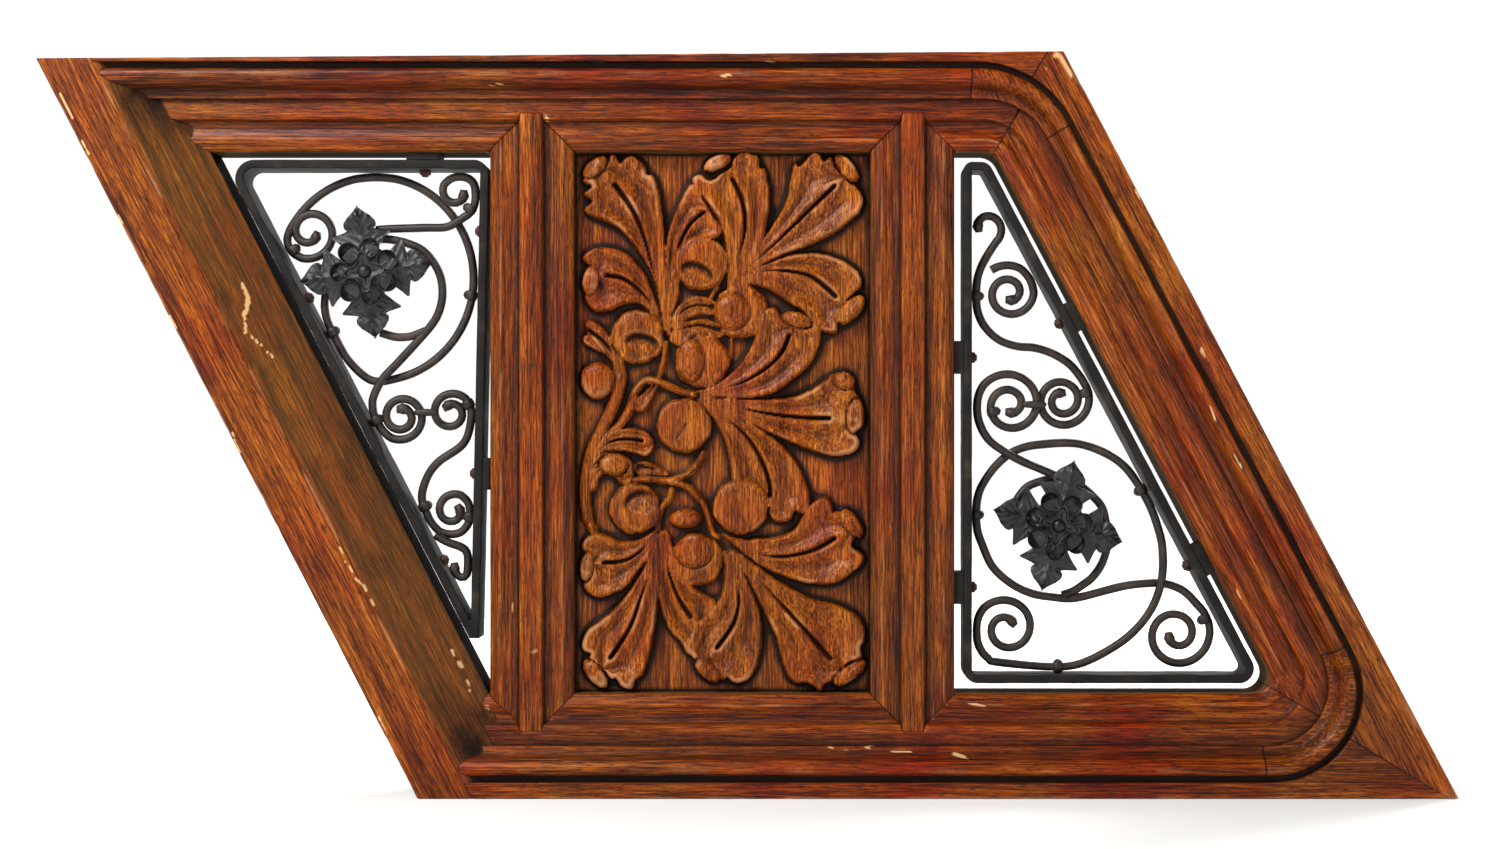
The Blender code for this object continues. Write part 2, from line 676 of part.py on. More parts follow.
LEFT_OPENING_SLANT = LEFT_EDGE.shifted(STILE_WIDTH)
RIGHT_OPENING_SLANT = RIGHT_GROOVE.shifted(MOULDING_WIDTH)
OPENING_HEAD = TOP_GROOVE.shifted(MOULDING_WIDTH)
OPENING_FOOT = BOTTOM_GROOVE.shifted(MOULDING_WIDTH)
LEFT_OPENING_SIDE = Line(Vector((LEFT_MUNTIN_X - MUNTIN_HALF, 1)), Vector((LEFT_MUNTIN_X - MUNTIN_HALF, 0)))
RIGHT_OPENING_SIDE = Line(Vector((RIGHT_MUNTIN_X + MUNTIN_HALF, 0)), Vector((RIGHT_MUNTIN_X + MUNTIN_HALF, 1)))
def level_where(slant, upright, width, side):
    """The level line on which two lines stand a width apart, above (1) or below (-1) where they meet."""
    apex = slant.meet(upright)
    up = Vector((0, 1))
    spread = abs(slant.at_height(apex.y + 1).x - upright.at_height(apex.y + 1).x)
    start = apex + up * (side * width / spread)
    return Line(start, start + Vector((-side, 0)))


# The right grille ends under the head of its opening, or lower where the opening has run too narrow
RIGHT_HEAD = min(
    OPENING_HEAD, level_where(RIGHT_OPENING_SLANT, RIGHT_OPENING_SIDE, RIGHT_HEAD_WIDTH, -1),
    key=lambda line: line.start.y,
)
LEFT_UPRIGHT = LEFT_OPENING_SIDE.tilted((OPENING_BOTTOM + OPENING_TOP) / 2, LEFT_UPRIGHT_TILT)
LEFT_GRILLE = Grille(
    OPENING_HEAD, LEFT_OPENING_SIDE, LEFT_UPRIGHT, LEFT_OPENING_SLANT, LEFT_OPENING_SLANT, LEFT_GRILLE_GAP,
    LEFT_SCROLLS_HEIGHT,
)
RIGHT_GRILLE = Grille(
    OPENING_FOOT, RIGHT_OPENING_SIDE, RIGHT_OPENING_SIDE, RIGHT_OPENING_SLANT, RIGHT_HEAD, RIGHT_GRILLE_GAP,
    RIGHT_SCROLLS_HEIGHT,
)


def rounded(lines, radii):
    """The closed outline inside clockwise lines, with an arc at the end of each."""
    points = []
    for i, line in enumerate(lines):
        following = lines[(i + 1) % len(lines)]
        turn = line.along.angle(following.along)
        centre = line.shifted(radii[i]).meet(following.shifted(radii[i]))
        for step in range(ARC_STEPS + 1):
            points.append(centre + clockwise(-line.inward, turn * step / ARC_STEPS) * radii[i])
    return points


def add_bar_frame(name, outer_lines, inner_lines, radii, iron, parts):
    """A flat bar bent round to a closed frame."""
    outer = rounded(outer_lines, radii)
    inner = rounded(inner_lines, [max(radius - BAR_WIDTH, CREASE_RADIUS) for radius in radii])
    back = BAR_FRONT + BAR_DEPTH
    rings = [
        [place(out, BAR_FRONT), place(out, back), place(into, back), place(into, BAR_FRONT)]
        for out, into in zip(outer, inner)
    ]
    return add_loft(name, rings, iron, parts, closed=True)


def add_grille_frames(iron, parts):
    outer = [line.shifted(LEFT_GRILLE_GAP) for line in (OPENING_HEAD, LEFT_UPRIGHT, LEFT_OPENING_SLANT)]
    inner = [line.shifted(BAR_WIDTH) for line in outer]
    outer.insert(2, level_where(outer[2], outer[1], NOSE_WIDTH, 1))
    inner.insert(2, level_where(inner[2], inner[1], INNER_NOSE_WIDTH, 1))
    radii = (LEFT_BEND_RADIUS, CREASE_RADIUS, CREASE_RADIUS, LEFT_SHARP_RADIUS)
    add_bar_frame("left_grille_frame", outer, inner, radii, iron, parts)
    outer = [line.shifted(RIGHT_GRILLE_GAP) for line in (RIGHT_HEAD, RIGHT_OPENING_SLANT, OPENING_FOOT)]
    outer.append(RIGHT_OPENING_SIDE.shifted(RIGHT_GRILLE_GAP))
    inner = [line.shifted(BAR_WIDTH) for line in outer]
    radii = (RIGHT_HEAD_RADIUS, RIGHT_BEND_RADIUS, RIGHT_BEND_RADIUS, RIGHT_SQUARE_RADIUS)
    add_bar_frame("right_grille_frame", outer, inner, radii, iron, parts)


def scroll(grille, x, z, start, end, outer, inner, shift=0.0):
    """A spiral about a drawn point, from one angle and radius to another."""
    steps = max(2, round(abs(end - start) / SCROLL_STEP))
    points = []
    for i in range(steps + 1):
        share = i / steps
        reach = outer + (inner - outer) * share
        turned = direction(start + (end - start) * share)
        points.append(grille.at(x + reach * turned.x, z + reach * turned.y, shift))
    return points


def smooth(points, spacing):
    """Points along a Catmull-Rom curve through the given ones, no further apart than a spacing."""
    result = [points[0]]
    for i in range(len(points) - 1):
        before = points[max(i - 1, 0)]
        start, end = points[i], points[i + 1]
        after = points[min(i + 2, len(points) - 1)]
        steps = max(1, round((end - start).length / spacing))
        for step in range(1, steps + 1):
            t = step / steps
            result.append(0.5 * (
                2 * start + (end - before) * t + (2 * before - 5 * start + 4 * end - after) * t**2
                + (3 * start - before - 3 * end + after) * t**3
            ))
    return result


def rod_path(grille, points):
    return [grille.inside(point) for point in smooth(points, ROD_SPACING)]


def add_rod(name, path, iron, parts):
    """A round rod through points whose third value is a shift back from the middle of the bars."""
    curve = bpy.data.curves.new(name, "CURVE")
    curve.dimensions = "3D"
    curve.bevel_depth = ROD_DIAMETER / 2
    curve.bevel_resolution = 1
    curve.use_fill_caps = True
    spline = curve.splines.new("POLY")
    spline.points.add(len(path) - 1)
    for target, point in zip(spline.points, path):
        target.co = (*place(point.xy, ROD_DEPTH + point.z), 1)
    curve.materials.append(iron)
    rod = bpy.data.objects.new(name, curve)
    parts.objects.link(rod)
    return rod


def left_rods():
    """The left grille's rods: drawn points in millimetres from its square corner, top right."""
    grille = LEFT_GRILLE
    back, front = ROD_SHIFT, -ROD_SHIFT

    def ring(degrees):
        turned = direction(degrees)
        return grille.at(-98 + 93.5 * turned.x, -103 + 97.5 * turned.y, back)

    return {
        "left_ring": (
            [grille.at(x, z, back) for x, z in ((-147, -128), (-145, -145), (-137, -165), (-122, -184))]
            + [ring(degrees) for degrees in range(268, 268 + 241, 15)]
            + scroll(grille, -161, -58.5, 206, 740, 28, 5, back)
        ),
        "left_top_scroll": (
            [grille.at(-82, -56, front), grille.at(-50, -55, front), grille.at(-28, -54, front)]
            + scroll(grille, -19, -21.5, -72, 400, 24, 4, front)
        ),
        "left_s_scroll": (
            [grille.at(x, z, front) for x, z in (
                (-84, -65), (-66, -70), (-50, -78), (-37, -96), (-33, -115), (-36, -134), (-46, -151), (-75, -183),
                (-90, -199), (-99, -217), (-100, -233))]
            + scroll(grille, -72, -235, 205, 860, 23.5, 6, front)
        ),
        "left_side_branch": [grille.at(x, z, front) for x, z in ((-60, -157.5), (-67, -159), (-78, -159), (-92, -155))],
        "left_side_scroll": (
            scroll(grille, -26, -231, 530, 5, 6, 20.5, back)
            + [grille.at(x, z, back) for x, z in ((-13, -259), (-38, -278), (-49, -293), (-54, -312))]
            + scroll(grille, -24, -325, 190, 800, 25, 4, back)
        ),
        "left_foot_scroll": (
            [grille.at(-41, -348, front), grille.at(-32, -353, front)]
            + scroll(grille, -17, -378, 92, -250, 20, 4.5, front)
        ),
    }


def right_rods():
    """The right grille's rods: drawn points in millimetres from its square corner, bottom left."""
    grille = RIGHT_GRILLE
    back, front = ROD_SHIFT, -ROD_SHIFT
    bends = (
        (74, 5.5, 0.2), (93, 5.5, 0), (117, 14, -0.3), (144, 30, -0.6), (162, 47, -1), (175, 67, -1), (182, 90, -1),
        (183, 113, -1), (180, 134, -0.7), (168, 166, -0.3), (144, 200, 0.1), (107, 218, 0.7), (67, 218, 1),
        (43, 212, 1), (25, 198, 1), (11, 178, 1), (5, 160, 1), (4.5, 142, 1), (11, 124, 1), (21, 102, 1), (38, 86, 1),
        (58, 76, 1), (80, 72, 1), (102, 71.5, 1), (144, 82, 1), (166, 85, 1), (186, 85, 1), (204, 78, 0.7),
    )
    return {
        "right_top_scroll": (
            scroll(grille, 15, 425.5, 230, -54, 5, 17, back)
            + [grille.at(x, z, back) for x, z in (
                (16, 398), (9, 384), (5, 370), (5, 350), (14, 331), (28, 318), (45, 312), (62, 310.5), (79, 305),
                (95, 295), (106, 282))]
            + scroll(grille, 88, 260, 40, -670, 27, 6, back)
        ),
        "right_top_inner_scroll": scroll(grille, 37.3, 362.5, 128, -500, 28, 4.5),
        "right_side_scroll": (
            scroll(grille, 37.3, 255.7, -500, 182, 5, 33, front)
            + [grille.at(x, z, front) for x, z in ((6, 243), (16, 224), (31, 212), (49, 202), (67, 194.5))]
        ),
        "right_ring_scroll": (
            scroll(grille, 34.4, 42.8, 0, 610, 6, 34)
            + [grille.at(x, z, shift * back) for x, z, shift in bends]
            + scroll(grille, 196.7, 37, 50, -570, 34, 5)
        ),
        "right_inner_scroll": [
            grille.at(x, z, back) for x, z in (
                (108, 84), (117, 91), (126, 104), (131, 120), (131, 136), (127, 156), (118, 168), (103, 180),
                (84, 186), (62, 181), (54, 176))
        ],
    }


def turned_to(axis):
    """The rotation that takes +Z to a direction in the front plane."""
    return Vector((axis.x, 0, axis.y)).to_track_quat("Z", "Y").to_matrix().to_4x4()


def add_peg(name, start, axis, depth, radius, length, sides, iron, parts):
    """A short round or six-sided piece standing on a bar or a rod."""
    shape = bmesh.new()
    middle = place(start + axis * (length / 2), depth)
    matrix = Matrix.Translation(middle) @ turned_to(axis)
    bmesh.ops.create_cone(
        shape, cap_ends=True, segments=sides, radius1=radius, radius2=radius * 0.82, depth=length, matrix=matrix
    )
    return finish_bmesh(name, shape, iron, parts)


# Where collars hold each rod to a bar: the bar and the drawn height, or the drawn distance along the level bar
COLLARS = {
    "left_ring": (("slant", -80), ("slant", -164), ("upright", -117)),
    "left_top_scroll": (("upright", -32),),
    "left_s_scroll": (("slant", -240),),
    "left_side_scroll": (("upright", -233), ("slant", -326), ("upright", -325)),
    "right_top_scroll": (("upright", 358), ("slant", 280)),
    "right_side_scroll": (("upright", 250),),
    "right_ring_scroll": (("slant", 166), ("upright", 148), ("level", 74), ("slant", 60)),
}


def add_collar(name, centre, along, iron, parts):
    """A band round a straight stretch of rod."""
    side = Vector((-along.y, along.x))
    inner = (ROD_DIAMETER / 2 + GAP) / math.cos(math.pi / COLLAR_SIDES)
    rings = []
    for i in range(COLLAR_SIDES):
        turned = direction(360 * (i + 0.5) / COLLAR_SIDES)
        ring = []
        for reach, end in ((inner, -1), (inner, 1), (COLLAR_RADIUS, 1), (COLLAR_RADIUS, -1)):
            flat = centre.xy + side * (reach * turned.x) + along * (end * COLLAR_WIDTH / 2)
            ring.append(place(flat, ROD_DEPTH + centre.z + reach * turned.y))
        rings.append(ring)
    return add_loft(name, rings, iron, parts, closed=True)


def add_collars(grille, label, paths, iron, parts):
    number = 0
    for name, path in paths.items():
        stretches = [(start, end) for start, end in zip(path, path[1:]) if (end - start).length > 2 * COLLAR_WIDTH]
        for bar, along in COLLARS.get(name, ()):
            number += 1
            spot = grille.on_bar(bar, along, ROD_SEAT)
            start, end = min(stretches, key=lambda ends: ((ends[0] + ends[1]).xy / 2 - spot).length)
            add_collar(f"{label}_collar_{number}", (start + end) / 2, (end - start).xy.normalized(), iron, parts)


def add_fixings(iron, parts):
    """Nuts inside the bars, with packing blocks between the bars and the oak behind most of them."""
    fixings = (
        ("left", LEFT_GRILLE, (
            ("level", -50, True), ("upright", -58, False), ("upright", -289, True), ("slant", -122, False),
            ("slant", -372, False))),
        ("right", RIGHT_GRILLE, (
            ("upright", 301, True), ("upright", 82, True), ("slant", 334, True), ("slant", 103, True))),
    )
    for label, grille, places in fixings:
        for number, (bar, along, packed) in enumerate(places, 1):
            inward = grille.inner[bar].inward
            start = grille.on_bar(bar, along, GAP)
            add_peg(f"{label}_nut_{number}", start, inward, ROD_DEPTH, NUT_RADIUS, NUT_LENGTH, 6, iron, parts)
            if packed:
                centre = grille.on_bar(bar, along, -BAR_WIDTH - grille.gap / 2)
                half = grille.inner[bar].along * (BLOCK_LENGTH / 2)
                thick = inward * (grille.gap / 2 - GAP)
                corners = (centre - half - thick, centre + half - thick, centre + half + thick, centre - half + thick)
                depths = (BAR_FRONT + GAP, BAR_FRONT + BAR_DEPTH)
                rings = [[place(corner, depth) for corner in corners] for depth in depths]
                add_loft(f"{label}_packing_{number}", rings, iron, parts)


def add_clips(iron, parts):
    """Flat straps across two scrolls that touch."""
    back = ROD_DEPTH - ROD_SHIFT - ROD_DIAMETER / 2 - GAP
    for name, centre in (("left_clip", LEFT_GRILLE.at(-47.5, -231)), ("right_clip", RIGHT_GRILLE.at(60, 256))):
        half = Vector((CLIP_LENGTH / 2, CLIP_WIDTH / 2))
        low = place(centre.xy - half, back - CLIP_THICKNESS)
        high = place(centre.xy + half, back)
        add_box(name, low, high, iron, parts)


# Half widths of a rosette's leaf at shares of its reach, with the height of its rib at each
ROSETTE_LEAF = (
    (0.12, 0.10, 0.55), (0.40, 0.17, 0.75), (0.62, 0.33, 0.60), (0.74, 0.30, 0.45), (0.78, 0.16, 0.50),
    (0.90, 0.12, 0.35), (1.0, 0.02, 0.28),
)
ROSETTE_LEAVES = 4
ROSETTE_PETALS = 7


def add_rosette(name, centre, turn, iron, parts):
    """Four lobed leaves under a ring of cupped petals and a square boss, cast as one."""
    elements = new_collection(name + " elements")
    back = ROD_DEPTH - ROD_SHIFT - ROD_DIAMETER / 2 - GAP
    height = back - ROSETTE_FRONT
    hub = bmesh.new()
    across = place(centre, back - height * 0.28)
    matrix = Matrix.Translation(across) @ Matrix.Rotation(math.radians(90), 4, "X")
    bmesh.ops.create_cone(
        hub, cap_ends=True, segments=12, radius1=ROSETTE_REACH * 0.30, radius2=ROSETTE_REACH * 0.26,
        depth=height * 0.56, matrix=matrix,
    )
    rosette = finish_bmesh(name, hub, iron, parts)
    for i in range(ROSETTE_LEAVES):
        ahead = direction(turn + 360 / ROSETTE_LEAVES * i)
        side = Vector((-ahead.y, ahead.x))
        rings = []
        for reach, width, rise in ROSETTE_LEAF:
            here = centre + ahead * (ROSETTE_REACH * reach)
            spread = side * (ROSETTE_REACH * width)
            lift = back - height * rise
            rings.append([
                place(here + spread, back - height * 0.03), place(here + spread, back - height * rise * 0.45),
                place(here, lift), place(here - spread, back - height * rise * 0.45),
                place(here - spread, back - height * 0.03),
            ])
        hide_helper(add_loft(f"{name}_leaf_{i}", rings, iron, elements))
    for i in range(ROSETTE_PETALS):
        spot = centre + direction(turn + 20 + 360 / ROSETTE_PETALS * i) * (ROSETTE_REACH * 0.32)
        petal = bmesh.new()
        matrix = Matrix.Translation(place(spot, back - height * 0.55)) @ Matrix.Rotation(math.radians(90), 4, "X")
        bmesh.ops.create_cone(
            petal, cap_ends=True, segments=6, radius1=ROSETTE_REACH * 0.12, radius2=ROSETTE_REACH * 0.135,
            depth=height * 0.36, matrix=matrix,
        )
        hide_helper(finish_bmesh(f"{name}_petal_{i}", petal, iron, elements))
    boss = bmesh.new()
    matrix = (
        Matrix.Translation(place(centre, back - height * 0.66)) @ Matrix.Rotation(math.radians(-turn), 4, "Y")
        @ Matrix.Rotation(math.radians(90), 4, "X")
    )
    bmesh.ops.create_cone(
        boss, cap_ends=True, segments=4, radius1=ROSETTE_REACH * 0.20, radius2=ROSETTE_REACH * 0.30,
        depth=height * 0.4, matrix=matrix,
    )
    hide_helper(finish_bmesh(f"{name}_boss", boss, iron, elements))
    ball = bmesh.new()
    matrix = Matrix.Translation(place(centre, ROSETTE_FRONT + ROSETTE_REACH * 0.085))
    bmesh.ops.create_uvsphere(ball, u_segments=6, v_segments=4, radius=ROSETTE_REACH * 0.085, matrix=matrix)
    hide_helper(finish_bmesh(f"{name}_ball", ball, iron, elements))
    add_boolean(rosette, "cast as one", "UNION", collection=elements)
    return rosette


def main():
    for old in list(bpy.data.objects):
        bpy.data.objects.remove(old)
    parts = new_collection("Staircase balustrade panel")
    helpers = new_collection("Cutters")
    oak = new_material("Polished oak", (0.26, 0.08, 0.024), 0.42, 0.0)
    iron = new_material("Blackened iron", (0.035, 0.030, 0.028), 0.55, 0.85)
    top_rail, right_stile, bottom_rail = add_rails(oak, parts)
    add_beads(oak, parts)
    add_left_stile(oak, parts)
    groove = add_panel_cutter(oak, helpers)
    for name, middle in (("left_muntin", LEFT_MUNTIN_X), ("right_muntin", RIGHT_MUNTIN_X)):
        muntin = add_muntin(name, middle, oak, parts, helpers)
        add_boolean(muntin, "panel groove", "DIFFERENCE", groove)
        for rail, level, sign in ((top_rail, OPENING_TOP, 1), (bottom_rail, OPENING_BOTTOM, -1)):
            cutter = add_notch_cutter(f"{rail.name}_{name}_notch", middle, level, sign, oak, helpers)
            add_boolean(rail, name, "DIFFERENCE", cutter)
    for rail in (top_rail, bottom_rail):
        add_boolean(rail, "panel groove", "DIFFERENCE", groove)
    add_carved_panel(oak, parts)
    add_grille_frames(iron, parts)
    for label, grille, rods in (("left", LEFT_GRILLE, left_rods()), ("right", RIGHT_GRILLE, right_rods())):
        paths = {name: rod_path(grille, points) for name, points in rods.items()}
        for name, path in paths.items():
            add_rod(name, path, iron, parts)
        add_collars(grille, label, paths, iron, parts)
    add_fixings(iron, parts)
    add_clips(iron, parts)
    add_rosette("left_rosette", LEFT_GRILLE.at(-104, -98).xy, LEFT_ROSETTE_TURN, iron, parts)
    add_rosette("right_rosette", RIGHT_GRILLE.at(82, 141).xy, RIGHT_ROSETTE_TURN, iron, parts)


main()
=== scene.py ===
"""The look of a staircase balustrade panel: moulded oak, a carved panel and two wrought iron grilles.

Metres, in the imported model's frame. The carved front faces -Y, and depths are measured back from the front
plane.
"""

import math

import bmesh
import bpy
import numpy as np
from mathutils import Matrix, Vector


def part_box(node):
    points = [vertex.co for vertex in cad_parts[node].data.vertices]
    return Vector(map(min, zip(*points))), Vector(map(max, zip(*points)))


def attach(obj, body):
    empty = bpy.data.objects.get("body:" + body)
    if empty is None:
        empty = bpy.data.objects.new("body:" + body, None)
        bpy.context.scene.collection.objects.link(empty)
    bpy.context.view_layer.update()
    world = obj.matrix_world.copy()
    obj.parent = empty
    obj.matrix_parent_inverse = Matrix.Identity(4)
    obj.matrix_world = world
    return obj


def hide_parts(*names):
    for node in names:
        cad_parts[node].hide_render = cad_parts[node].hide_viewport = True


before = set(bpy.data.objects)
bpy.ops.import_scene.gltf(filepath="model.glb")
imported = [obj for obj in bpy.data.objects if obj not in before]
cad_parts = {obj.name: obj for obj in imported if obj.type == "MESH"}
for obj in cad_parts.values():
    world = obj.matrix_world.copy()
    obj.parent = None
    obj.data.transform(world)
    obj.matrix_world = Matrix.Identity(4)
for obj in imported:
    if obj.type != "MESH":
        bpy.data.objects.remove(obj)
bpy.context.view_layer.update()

# Sizes of the frame, as in the part's source
BASE_LENGTH = 0.9686
LEFT_HEIGHT = 0.6885
RIGHT_HEIGHT = 0.6950
LEFT_LEAN = 27.25
RIGHT_LEAN = 27.85
THICKNESS = 0.0750
TOP_MARGIN = 0.0027
BOTTOM_MARGIN = 0.0143
RIGHT_MARGIN = 0.0160
MOULDING_WIDTH = 0.0800
MOULDING_DROP = 0.0300
STEP_WIDTH = 0.0500
BEAD_WIDTH = 0.0320
RIGHT_BEAD_WIDTH = 0.0258
STILE_WIDTH = 0.0985
STILE_FLAT = 0.0446
TOP_GROOVE_RADIUS = 0.1020
TOP_ARRIS_RADIUS = 0.0180
BOTTOM_GROOVE_RADIUS = 0.0840
BOTTOM_ARRIS_RADIUS = 0.0160
TOP_BEAD_OVERRUN = 0.0033
BOTTOM_BEAD_OVERRUN = 0.0065
MUNTIN_FILLET = 0.0190
LEFT_MUNTIN_INSET = 0.1033
RIGHT_MUNTIN_INSET = 0.5060
MUNTIN_REACH = 0.0345
MITRE_DEPTH = 0.0450
GROUND_DEPTH = 0.0480
BOARD_THICKNESS = 0.0120
TONGUE = 0.0060
GAP = 0.0003
LAP = 0.0001
JOINT_SHADE = 0.0016

# Sizes of the ironwork
BAR_WIDTH = 0.0080
BAR_DEPTH = 0.0380
BAR_FRONT = 0.0340
LEFT_GRILLE_GAP = 0.0070
RIGHT_GRILLE_GAP = 0.0090
LEFT_UPRIGHT_TILT = 1.2
ROD_DIAMETER = 0.0075
ROSETTE_REACH = 0.0645
ROSETTE_FRONT = 0.0270
LEFT_ROSETTE_TURN = 8.0
RIGHT_ROSETTE_TURN = -14.0
LEFT_TIP_OUTSIDE = 0.0090
LEFT_TIP_INSIDE = 0.0012
LEFT_BEND_RADII = (0.0140, GAP, GAP, 0.0180)
RIGHT_BEND_RADII = (0.0110, 0.0140, 0.0140, 0.0085)

# The photograph: its optical centre in pixels, a pixel's size on the front plane, and the camera's distance
OPTICAL_CENTRE = (790.0, 450.0)
PIXEL = 0.00093
CAMERA_DISTANCE = 2.0
CAMERA_X = 0.0399
CAMERA_Z = 0.3241
IMAGE_SIZE = (1500, 849)

LEFT_RUN = LEFT_HEIGHT * math.tan(math.radians(LEFT_LEAN))
RIGHT_RUN = RIGHT_HEIGHT * math.tan(math.radians(RIGHT_LEAN))
LENGTH = BASE_LENGTH + LEFT_RUN
HEAD_LEFT = Vector((-LENGTH / 2, LEFT_HEIGHT))
FOOT_LEFT = Vector((-LENGTH / 2 + LEFT_RUN, 0))
FOOT_RIGHT = Vector((LENGTH / 2, 0))
HEAD_RIGHT = Vector((LENGTH / 2 - RIGHT_RUN, RIGHT_HEIGHT))
OUTLINE = (HEAD_LEFT, HEAD_RIGHT, FOOT_RIGHT, FOOT_LEFT)
FRONT = -THICKNESS / 2
OPENING_BOTTOM = BOTTOM_MARGIN + MOULDING_WIDTH
OPENING_TOP = min(LEFT_HEIGHT, RIGHT_HEIGHT) - TOP_MARGIN - MOULDING_WIDTH
STICKING = MOULDING_WIDTH - STEP_WIDTH
MUNTIN_HALF = MUNTIN_FILLET / 2 + STICKING
LEFT_MUNTIN_X = FOOT_LEFT.x + LEFT_MUNTIN_INSET
RIGHT_MUNTIN_X = FOOT_RIGHT.x - RIGHT_MUNTIN_INSET
PANEL_LEFT = LEFT_MUNTIN_X + MUNTIN_HALF
PANEL_RIGHT = RIGHT_MUNTIN_X - MUNTIN_HALF
ROD_DEPTH = BAR_FRONT + BAR_DEPTH / 2
ROD_SHIFT = ROD_DIAMETER / 2 + GAP / 2
ROD_SEAT = 0.0059
MM = 0.001
ARC_STEPS = 18
RING_SPACING = 0.0050
BOARD_RING_SPACING = 0.0025
BAR_RING_SPACING = 0.0060
ROD_RING_SPACING = 0.0035
ROD_PATH_SPACING = 0.0025
NOTCH_CLEARANCE = 0.0005
MUNTIN_WEAR = 0.7 * MM
RAIL_WEAR = 0.8 * MM
BEAD_WEAR = 0.9 * MM
BOARD_WEAR = 0.9 * MM
BAR_DENTS = 0.35 * MM


class Line:
    """A line in the front plane; inwards is to the right of the way it runs."""

    def __init__(self, start, towards):
        self.start = start
        self.along = (towards - start).normalized()
        self.inward = Vector((self.along.y, -self.along.x))

    def shifted(self, distance):
        start = self.start + self.inward * distance
        return Line(start, start + self.along)

    def meet(self, other):
        across = self.along.x * other.along.y - self.along.y * other.along.x
        offset = other.start - self.start
        share = (offset.x * other.along.y - offset.y * other.along.x) / across
        return self.start + self.along * share

    def distance(self, point):
        return (point - self.start).dot(self.inward)

    def at_height(self, z):
        return self.start + self.along * ((z - self.start.y) / self.along.y)

    def tilted(self, z, degrees):
        pivot = self.at_height(z)
        return Line(pivot, pivot + clockwise(self.along, math.radians(degrees)))


def clockwise(vector, angle):
    return Matrix.Rotation(-angle, 2) @ vector


def direction(degrees):
    return Vector((math.cos(math.radians(degrees)), math.sin(math.radians(degrees))))


def place(point, depth):
    return Vector((point.x, FRONT + depth, point.y))


TOP_EDGE = Line(HEAD_LEFT, HEAD_RIGHT)
RIGHT_EDGE = Line(HEAD_RIGHT, FOOT_RIGHT)
BOTTOM_EDGE = Line(FOOT_RIGHT, FOOT_LEFT)
LEFT_EDGE = Line(FOOT_LEFT, HEAD_LEFT)
TOP_GROOVE = Line(Vector((0, OPENING_TOP + MOULDING_WIDTH)), Vector((1, OPENING_TOP + MOULDING_WIDTH)))
RIGHT_GROOVE = RIGHT_EDGE.shifted(RIGHT_MARGIN)
BOTTOM_GROOVE = BOTTOM_EDGE.shifted(BOTTOM_MARGIN)


def outline_hit(start, along):
    """Where a ray from inside the panel leaves its outline."""
    nearest = None
    for first, second in zip(OUTLINE, OUTLINE[1:] + OUTLINE[:1]):
        edge = Line(first, second)
        if along.dot(edge.inward) < -1e-6:
            reach = -edge.distance(start) / along.dot(edge.inward)
            if nearest is None or reach < nearest:
                nearest = reach
    return start + along * nearest


class Corner:
    """A corner of the moulding between two groove lines, rounder at the groove than at the arris."""

    def __init__(self, first, second, outline_corner, groove_radius, arris_radius, overrun):
        self.first = first
        self.second = second
        self.turn = first.along.angle(second.along)
        self.outline_corner = outline_corner
        self.radii = (groove_radius, arris_radius)
        self.overrun = overrun

    def radius(self, inset):
        share = inset / MOULDING_WIDTH
        return self.radii[0] + (self.radii[1] - self.radii[0]) * share

    def inset_on(self, line, inset):
        """An inset where it runs along a line: the right bead is narrower, so its groove lies further in."""
        if line is RIGHT_GROOVE and inset < BEAD_WIDTH:
            return BEAD_WIDTH - (BEAD_WIDTH - inset) * RIGHT_BEAD_WIDTH / BEAD_WIDTH
        return inset

    def centre(self, inset):
        near = self.first.shifted(self.inset_on(self.first, inset) + self.radius(inset))
        return near.meet(self.second.shifted(self.inset_on(self.second, inset) + self.radius(inset)))

    def point(self, inset, angle):
        if inset is None:
            return outline_hit(self.centre(0), clockwise(-self.first.inward, angle))
        return self.centre(inset) + clockwise(-self.first.inward, angle) * self.radius(inset)

    def angles(self, start, end):
        """Even steps between two angles, with one more where the ray meets the outline's corner."""
        steps = [start + (end - start) * i / ARC_STEPS for i in range(ARC_STEPS + 1)]
        to_corner = (self.outline_corner - self.centre(0)).normalized()
        sharp = (-self.first.inward).angle(to_corner)
        if start < sharp < end and min(abs(sharp - step) for step in steps) > math.radians(0.5):
            steps.append(sharp)
        return sorted(steps)

    def ring(self, section, angle, mitre_side=0):
        points = []
        for inset, depth in section:
            clear = -mitre_side * LAP / self.radius(inset or 0)
            points.append(place(self.point(inset, angle + clear), depth))
        return points

    def cut(self, section, side, clear):
        """A square cut across the run before (-1) or after (1) the corner, clear of the joint by a length."""
        line = self.first if side < 0 else self.second
        tangent = self.centre(0) - line.inward * self.radius(0)
        start = tangent + line.along * (side * self.overrun + clear) - line.inward * self.inset_on(line, 0)
        return [place(start + line.inward * self.inset_on(line, inset), depth) for inset, depth in section]


TOP_CORNER = Corner(
    TOP_GROOVE, RIGHT_GROOVE, HEAD_RIGHT, TOP_GROOVE_RADIUS, TOP_ARRIS_RADIUS, TOP_BEAD_OVERRUN
)
BOTTOM_CORNER = Corner(
    RIGHT_GROOVE, BOTTOM_GROOVE, FOOT_RIGHT, BOTTOM_GROOVE_RADIUS, BOTTOM_ARRIS_RADIUS, BOTTOM_BEAD_OVERRUN
)


# Mesh making


